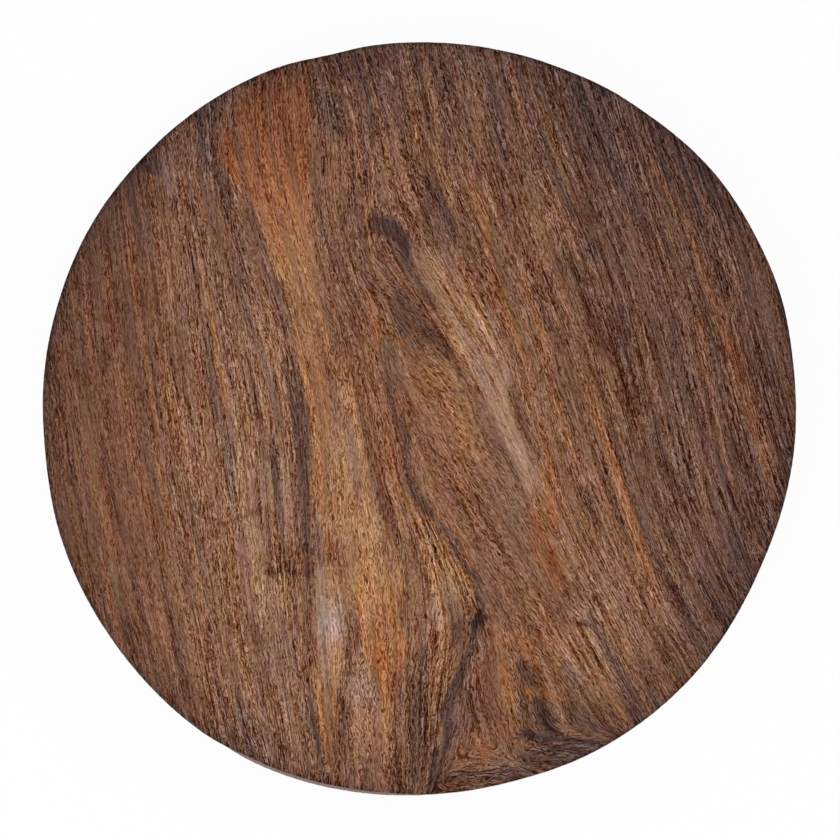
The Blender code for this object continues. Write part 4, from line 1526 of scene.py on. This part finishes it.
@dataclass(frozen=True)
class SawnWood:
    """The wall: dry wood as the saw left it, with end grain where the strands run out of it."""

    strands: Tree
    streaks: Tree
    colour: Tree
    strand_width: float = 0.9
    streak_width: float = 0.8
    curl: float = 0.2
    mark_width: float = 0.9
    mark_height: float = 30.0
    dot_size: float = 0.5
    dot_range: tuple[float, float] = (0.7, 1.5)
    # partly painted light: dry sawn wood is paler than the oiled face, and the wall's lightness is raised
    # further all round to match its brightly lit side
    light: float = 97.0
    light_of_figure: float = 0.45
    streak_contrast: float = 6.0
    end_grain_shade: float = -6.0
    pore_shade: float = -38.0
    warmth: float = -1.7
    warmth_of_figure: float = 0.35
    warmth_contrast: float = 0.2
    fine_contrast: float = 13.0
    strand_share: float = 0.6
    mark_share: float = 0.45
    roughness: float = 0.78
    pore_roughness: float = 0.1
    strand_height: float = 0.3
    mark_depth: float = 0.5
    pore_depth: float = -1.2
    bump_strength: float = 0.5
    bump_depth: float = 0.1 * MM
    specular: float = 0.15

    def material(self) -> bpy.types.Material:
        """Make the material.

        Returns:
            The material.
        """
        material, wiring = start_material("sawn_hardwood")
        across, along, depth = wiring.attribute("grain_place")
        light, warmth, _ = wiring.attribute("grain_tone")
        girth, height, end_grain = wiring.attribute("wall_place")
        place = {"Across": across, "Along": along, "Depth": depth}
        side = wiring.group(self.strands, **place, Curl=self.curl, Width=self.strand_width).outputs
        broad = wiring.group(self.streaks, **place, Width=self.streak_width).outputs
        saw_place = (wiring.over(girth, self.mark_width), wiring.over(height, self.mark_height), 0.0)
        marks = wiring.noise(wiring.vector(*saw_place), 1.0)
        dot_place = (wiring.over(across, self.dot_size), wiring.over(depth, self.dot_size), along)
        dots = wiring.noise(wiring.vector(*dot_place))
        pore = wiring.times(wiring.ramp(dots, *self.dot_range), end_grain)
        strand = side["Strand"]

        # the wall's lightness, paler for the dry wood and further raised as painted light
        lit = wiring.times_plus(light, self.light_of_figure, self.light)
        lit = wiring.times_plus(broad["Light"], self.streak_contrast, lit)
        lit = wiring.times_plus(end_grain, self.end_grain_shade, lit)
        lit = wiring.times_plus(pore, self.pore_shade, lit)
        tinted = wiring.times_plus(broad["Warmth"], self.warmth_contrast, self.warmth)
        tinted = wiring.times_plus(warmth, self.warmth_of_figure, tinted)
        relief = wiring.times_plus(marks, self.mark_share, wiring.times(strand, self.strand_share))
        relief = wiring.times(relief, self.fine_contrast)
        shade = wiring.group(self.colour, Light=lit, Warmth=tinted, Fine=relief)

        bump_height = wiring.times_plus(marks, self.mark_depth, wiring.times(strand, self.strand_height))
        bump_height = wiring.times_plus(pore, self.pore_depth, bump_height)
        bump = wiring.node(
            "ShaderNodeBump", Strength=self.bump_strength, Distance=self.bump_depth, Height=bump_height
        )
        shader = wiring.node(
            "ShaderNodeBsdfPrincipled",
            Base_Color=shade.outputs["Color"],
            Roughness=wiring.times_plus(pore, self.pore_roughness, self.roughness),
            Normal=bump.outputs[0],
            Specular_IOR_Level=self.specular,
        )
        wiring.node("ShaderNodeOutputMaterial", Surface=shader.outputs[0])
        return material


class Ring(NamedTuple):
    """One level of the CAD slab: its height, and its radius by bearing."""

    height: float
    bearings: Array
    radii: Array

    def radius_at(self, bearings: Array) -> Array:
        """Read the radius from a smooth curve through the CAD slab's points.

        Args:
            bearings: where to read it, from 0 to a full turn.

        Returns:
            The radius at each bearing.
        """
        turns = np.concatenate([self.bearings[-2:] - math.tau, self.bearings, self.bearings[:3] + math.tau])
        radii = np.concatenate([self.radii[-2:], self.radii, self.radii[:3]])
        place = np.searchsorted(turns, bearings, side="right") - 1
        share = (bearings - turns[place]) / (turns[place + 1] - turns[place])
        return curve_place(radii[place - 1], radii[place], radii[place + 1], radii[place + 2], share)


@dataclass
class BoardSlab:
    """The board: one slab, with both faces, the sawn wall and the eased edges between them."""

    figure: Figure
    face_finish: bpy.types.Material
    wall_finish: bpy.types.Material
    face_rings: int = 148
    base_rings: int = 52
    wall_rows: int = 9
    points_a_ring: int = 6
    ring_gap: float = 0.05 * MM  # points closer in height than this belong to one ring
    wall_least: float = 5 * MM  # a taller space between two rings is the wall
    base_ease: float = 1.9  # from the lowest ring to the wall's finish, in millimetres
    face_ease: float = 1.1  # from the wall's finish to the face
    saw_mark_pitch: float = 1.6 * MM
    saw_mark_depth: float = 0.16 * MM
    saw_mark_height: float = 25.0
    ripple_pitch: float = 9.0 * MM
    ripple_depth: float = 0.05 * MM
    wall_share: float = 0.6  # of a face's corners that lie on the wall where it has the wall's finish
    lean_of_figure: float = 0.25  # how far the figure moves sideways for each step down
    lean_of_grain: float = 0.3  # how far the strands do
    end_grain_range: tuple[float, float] = (0.35, 0.95)  # of the sine of the bearing
    painted_edge_shade_range: tuple[float, float] = (-1.0, 0.8)  # where the dark line of painted shade along the rim comes in

    def __post_init__(self) -> None:
        """Read the rings of the CAD slab."""
        self.rings = self.cad_rings()
        self.top = self.rings[-1].height
        self.points: list[Array] = []
        self.faces: list[tuple[int, ...]] = []
        self.count = 0

    def cad_rings(self) -> list[Ring]:
        """Sort the points of the CAD slab into rings.

        Returns:
            The rings, from the underside up.
        """
        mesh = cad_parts["board_slab"].data
        places = np.unique(np.round([vertex.co[:] for vertex in mesh.vertices], 6), axis=0)
        places = places[np.argsort(places[:, 2])]
        breaks = np.nonzero(np.diff(places[:, 2]) > self.ring_gap)[0] + 1
        rings = []
        for level in np.split(places, breaks):
            bearings = np.arctan2(level[:, 1], level[:, 0]) % math.tau
            radii = np.hypot(level[:, 0], level[:, 1])
            order = np.argsort(bearings)
            rings.append(Ring(level[:, 2].mean(), bearings[order], radii[order]))
        return rings

    def add_ring(self, count: int, radius: Callable[[Array], Array], height: float) -> range:
        """Add a ring of points.

        Args:
            count: how many points it has.
            radius: gives the radius at each bearing.
            height: how high it lies.

        Returns:
            The numbers of its points.
        """
        bearings = np.arange(count) * math.tau / count
        radii = radius(bearings)
        x, y = radii * np.cos(bearings), radii * np.sin(bearings)
        self.points.append(np.column_stack([x, y, np.full(count, height)]))
        start = self.count
        self.count += count
        return range(start, self.count)

    def zip_rings(self, outer: range, inner: range, upwards: bool) -> None:
        """Fill the space between two rings with triangles, whatever their numbers of points.

        Args:
            outer: the points of the outer ring.
            inner: those of the inner one.
            upwards: whether the triangles face up.
        """
        a, b = 0, 0
        while a < len(outer) or b < len(inner):
            here, there = outer[a % len(outer)], inner[b % len(inner)]
            if (a + 1) * len(inner) <= (b + 1) * len(outer):
                a += 1
                face = (here, outer[a % len(outer)], there)
            else:
                b += 1
                face = (here, inner[b % len(inner)], there)
            self.faces.append(face if upwards else face[::-1])

    def fill_face(self, rim: range, edge: Ring, rings: int, upwards: bool) -> None:
        """Fill a face from its rim to its middle with near-even triangles.

        Args:
            rim: the points of the rim.
            edge: the ring of the CAD slab that the rim follows.
            rings: how many rings of triangles there are.
            upwards: whether the face looks up.
        """
        outer = rim
        for index in range(rings - 1, 0, -1):
            share = index / rings
            count = self.points_a_ring * index
            inner = self.add_ring(count, lambda turns: edge.radius_at(turns) * share, edge.height)
            self.zip_rings(outer, inner, upwards)
            outer = inner
        middle = self.add_ring(1, lambda turns: turns * 0.0, edge.height)[0]
        for index in range(len(outer)):
            face = (outer[index], outer[(index + 1) % len(outer)], middle)
            self.faces.append(face if upwards else face[::-1])

    def build_wall(self) -> tuple[range, range]:
        """Build the eased edges and the wall.

        Returns:
            The points of the underside's rim and of the face's rim.
        """
        count = self.points_a_ring * self.face_rings
        levels = []
        for lower, upper in zip(self.rings, self.rings[1:]):
            steps = self.wall_rows if upper.height - lower.height > self.wall_least else 1
            for step in range(steps):
                levels.append((lower, upper, step / steps))
        levels.append((self.rings[-1], self.rings[-1], 0.0))
        rims = []
        for lower, upper, share in levels:
            height = lower.height + (upper.height - lower.height) * share
            rims.append(
                self.add_ring(
                    count,
                    lambda turns: lower.radius_at(turns) * (1 - share) + upper.radius_at(turns) * share,
                    height,
                )
            )
        for lower, upper in zip(rims, rims[1:]):
            for index in range(count):
                after = (index + 1) % count
                self.faces.append((lower[index], lower[after], upper[after], upper[index]))
        return rims[0], rims[-1]

    def mesh(self) -> bpy.types.Mesh:
        """Build the slab as one closed mesh that carries the figure of its wood.

        Returns:
            The mesh.
        """
        base_rim, face_rim = self.build_wall()
        self.fill_face(face_rim, self.rings[-1], self.face_rings, upwards=True)
        self.fill_face(base_rim, self.rings[0], self.base_rings, upwards=False)
        places = np.vstack(self.points)
        mesh = bpy.data.meshes.new("board_slab_rough")
        mesh.from_pydata(places.tolist(), [], self.faces)
        self.dress(mesh, places)
        mesh.shade_smooth()
        return mesh

    def dress(self, mesh: bpy.types.Mesh, places: Array) -> None:
        """Give each point of the mesh its share of the wood's figure.

        Args:
            mesh: the mesh.
            places: where its points are.
        """
        x, y, z = (places / MM).T
        below = self.top / MM - z
        figure = self.figure.paint(x + self.lean_of_figure * below, y)
        bearing = np.arctan2(y, x)
        girth = bearing * np.hypot(x, y).max()
        end_grain = smooth_step(*self.end_grain_range, np.abs(np.sin(bearing)))
        face_edge = self.rings[-1].radius_at(bearing % math.tau) / MM
        # painted shade along the rim of each face, from 1 mm inside its edge outwards
        edge = smooth_step(*self.painted_edge_shade_range, np.hypot(x, y) - face_edge)
        wall = (z > self.rings[0].height / MM + self.base_ease) & (z < self.top / MM - self.face_ease)
        across = figure["across"] + self.lean_of_grain * below
        self.store(mesh, "grain_place", across, figure["along"], z)
        self.store(mesh, "grain_tone", figure["light"], figure["warmth"], figure["grain"])
        # the third number is the painted shade along the rim
        self.store(mesh, "grain_form_and_rim_shade", figure["curl"], figure["long"], edge)
        self.store(mesh, "grain_run", figure["run_x"], figure["run_y"])
        self.store(mesh, "dark_veins", figure["vein"], figure["vein_depth"])
        self.store(mesh, "pale_threads", figure["thread"], figure["thread_depth"], figure["scuff"])
        self.store(mesh, "wall_place", girth, z, end_grain)
        on_wall = mesh.attributes.new("on_wall", "FLOAT", "POINT")
        on_wall.data.foreach_set("value", wall.astype(np.float32))

    @staticmethod
    def store(mesh: bpy.types.Mesh, name: str, *parts: Array) -> None:
        """Store up to three numbers for each point as a vector attribute.

        Args:
            mesh: the mesh.
            name: the attribute's name.
            parts: the numbers; the rest stays 0.
        """
        vectors = np.zeros((len(mesh.vertices), 3), np.float32)
        vectors[:, : len(parts)] = np.column_stack(parts)
        attribute = mesh.attributes.new(name, "FLOAT_VECTOR", "POINT")
        attribute.data.foreach_set("vector", vectors.ravel())

    def surface_tree(self) -> Tree:
        """Build the nodes that cut the saw's marks into the wall and set both finishes.

        Returns:
            The geometry node group.
        """
        tree = bpy.data.node_groups.new("sawn_and_sanded_surface", "GeometryNodeTree")
        geometry = "NodeSocketGeometry"
        tree.interface.new_socket(name="Geometry", in_out="INPUT", socket_type=geometry)
        for label in ("Saw mark pitch", "Saw mark depth", "Ripple pitch", "Ripple depth"):
            tree.interface.new_socket(name=label, in_out="INPUT", socket_type=NUMBER)
        for label in ("Face finish", "Wall finish"):
            tree.interface.new_socket(name=label, in_out="INPUT", socket_type="NodeSocketMaterial")
        tree.interface.new_socket(name="Geometry", in_out="OUTPUT", socket_type=geometry)
        wiring = Wiring(tree)
        given = wiring.node("NodeGroupInput").outputs
        named = "GeometryNodeInputNamedAttribute"
        normal = wiring.node("GeometryNodeInputNormal").outputs[0]
        wall = wiring.node(named, {"data_type": "FLOAT"}, Name="on_wall").outputs[0]
        place = wiring.node(named, {"data_type": "FLOAT_VECTOR"}, Name="wall_place").outputs[0]
        girth, height, _ = wiring.parts(place)
        across_marks = wiring.over(girth, wiring.over(given["Saw mark pitch"], MM))
        mark_place = wiring.vector(across_marks, wiring.over(height, self.saw_mark_height), 3.0)
        marks = wiring.noise(mark_place, 2.0)
        pitch = wiring.vector(*(given["Ripple pitch"],) * 3)
        ripple_place = wiring.vectors("DIVIDE", wiring.node("GeometryNodeInputPosition").outputs[0], pitch)
        ripple = wiring.times(wiring.noise(ripple_place, 1.0), given["Ripple depth"])
        cut = wiring.times(wiring.times(marks, given["Saw mark depth"]), wall)
        depth = wiring.minus(wiring.result("MINIMUM", ripple, 0.0), wiring.result("ABSOLUTE", cut))
        offset = wiring.vectors("SCALE", normal, depth)
        moved = wiring.node("GeometryNodeSetPosition", Geometry=given["Geometry"], Offset=offset)
        realized = wiring.node("GeometryNodeRealizeInstances", Geometry=moved.outputs[0])
        compare = {"data_type": "FLOAT", "operation": "GREATER_THAN"}
        is_wall = wiring.node("FunctionNodeCompare", compare, wall, self.wall_share).outputs[0]
        finished = realized.outputs[0]
        for selection, finish in ((True, "Face finish"), (is_wall, "Wall finish")):
            finished = wiring.node(
                "GeometryNodeSetMaterial", Geometry=finished, Selection=selection, Material=given[finish]
            ).outputs[0]
        wiring.node("NodeGroupOutput", Geometry=finished)
        return tree

    def build(self) -> bpy.types.Object:
        """Build the finished slab and fix it to the board's one body.

        Returns:
            The slab.
        """
        slab = bpy.data.objects.new("figured_slab", self.mesh())
        bpy.context.scene.collection.objects.link(slab)
        tree = self.surface_tree()
        surface = slab.modifiers.new("surface", "NODES")
        surface.node_group = tree
        values = {
            "Saw mark pitch": self.saw_mark_pitch,
            "Saw mark depth": self.saw_mark_depth,
            "Ripple pitch": self.ripple_pitch,
            "Ripple depth": self.ripple_depth,
            "Face finish": self.face_finish,
            "Wall finish": self.wall_finish,
        }
        for item in tree.interface.items_tree:
            if item.in_out == "INPUT" and item.name in values:
                surface[item.identifier] = values[item.name]
        graph = bpy.context.evaluated_depsgraph_get()
        finished = bpy.data.meshes.new_from_object(
            slab.evaluated_get(graph), preserve_all_data_layers=True, depsgraph=graph
        )
        slab.modifiers.remove(surface)
        slab.data = finished
        slab.data.name = "figured_slab"
        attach(slab, "root")
        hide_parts("board_slab")
        return slab


@dataclass(frozen=True)
class Studio:
    """A white floor, soft light from all round, and a camera straight above the board."""

    photo_side: int = 840
    pixel: float = 0.44976 * MM  # of the face, for each pixel of the picture
    camera_height: float = 4.25
    aim_x: float = 0.27 * MM
    aim_y: float = -0.10 * MM
    sensor: float = 36.0
    sky: float = 0.55
    floor_side: float = 6.0
    floor_gap: float = 0.1 * MM
    floor_glow: float = 0.95  # the share of its look that takes no shadow

    def build(self) -> None:
        """Set up the whole studio."""
        self.build_camera()
        self.build_lamps()
        self.build_sky()
        self.build_floor()
        bpy.context.scene.view_settings.view_transform = "Standard"

    def build_camera(self) -> None:
        """A long lens that looks straight down."""
        data = bpy.data.cameras.new("camera")
        data.sensor_width = self.sensor
        distance = self.camera_height - cad_box[1].z
        data.lens = self.sensor * distance / (self.photo_side * self.pixel)
        data.clip_start, data.clip_end = 0.1, 50.0
        camera = bpy.data.objects.new("camera", data)
        camera.location = (self.aim_x, self.aim_y, self.camera_height)
        bpy.context.scene.collection.objects.link(camera)
        bpy.context.scene.camera = camera

    @staticmethod
    def build_lamps() -> None:
        """Two large soft lamps, from the lower left and from the right."""
        for name, place, side, power in (
            ("soft_lamp_left", (-1.5, -1.6, 1.7), 1.6, 26.0),
            ("soft_lamp_right", (1.9, 0.9, 1.8), 1.6, 17.0),
        ):
            data = bpy.data.lights.new(name, "AREA")
            data.size = side
            data.energy = power
            lamp = bpy.data.objects.new(name, data)
            lamp.location = place
            lamp.rotation_mode = "QUATERNION"
            lamp.rotation_quaternion = (-Vector(place)).to_track_quat("-Z", "Y")
            bpy.context.scene.collection.objects.link(lamp)

    @staticmethod
    def seen(wiring: Wiring) -> Socket:
        """Tell what the camera sees, straight, in a mirror or through glass, from what only gives light.

        Args:
            wiring: the wiring of the sky or the floor.

        Returns:
            1 for what it sees, otherwise 0.
        """
        ray = wiring.node("ShaderNodeLightPath").outputs
        straight = wiring.result("MAXIMUM", ray["Is Camera Ray"], ray["Is Transmission Ray"])
        return wiring.result("MAXIMUM", straight, ray["Is Glossy Ray"])

    def build_sky(self) -> None:
        """Even light from all round, which is white wherever the camera sees it."""
        world = bpy.data.worlds.new("studio")
        bpy.context.scene.world = world
        world.use_nodes = True
        wiring = Wiring(world.node_tree)
        strength = wiring.blend(self.seen(wiring), self.sky, 1.0)
        background = wiring.node("ShaderNodeBackground", Color=(1, 1, 1, 1), Strength=strength)
        wiring.node("ShaderNodeOutputWorld", Surface=background.outputs[0])

    def build_floor(self) -> None:
        """A white floor that shows the board's shadow faintly and is clear from below."""
        half = self.floor_side / 2
        corners = ((-half, -half), (half, -half), (half, half), (-half, half))
        mesh = bpy.data.meshes.new("floor")
        mesh.from_pydata([(x, y, -self.floor_gap) for x, y in corners], [], [(0, 1, 2, 3)])
        floor = bpy.data.objects.new("floor", mesh)
        bpy.context.scene.collection.objects.link(floor)
        material, wiring = start_material("white_floor")
        seen = self.seen(wiring)
        paint = wiring.node("ShaderNodeBsdfDiffuse", Color=(0.9, 0.9, 0.9, 1)).outputs[0]
        glow = wiring.node("ShaderNodeEmission", Color=(1, 1, 1, 1), Strength=1.0).outputs[0]
        clear = wiring.node("ShaderNodeBsdfTransparent").outputs[0]
        mix = "ShaderNodeMixShader"
        white = wiring.node(mix, None, wiring.times(seen, self.floor_glow), paint, glow).outputs[0]
        from_above = wiring.minus(1.0, wiring.node("ShaderNodeNewGeometry").outputs["Backfacing"])
        shown = wiring.node(mix, None, wiring.times(seen, from_above), clear, white)
        wiring.node("ShaderNodeOutputMaterial", Surface=shown.outputs[0])
        mesh.materials.append(material)


def main() -> None:
    """Build the board and the studio round it."""
    logging.basicConfig(level=logging.INFO, format="%(message)s")
    Studio().build()
    strands, streaks, colour = strand_group(), streak_group(), Palette().group()
    flow = GrainFlow()
    LOG.info("grain laid out on %d by %d points", flow.count, flow.count)
    slab = BoardSlab(
        figure=Figure(flow),
        face_finish=OiledWood(patch_group(), strands, streaks, colour).material(),
        wall_finish=SawnWood(strands, streaks, colour).material(),
    ).build()
    LOG.info("%s: %d faces", slab.name, len(slab.data.polygons))


if __name__ == "__main__":
    main()
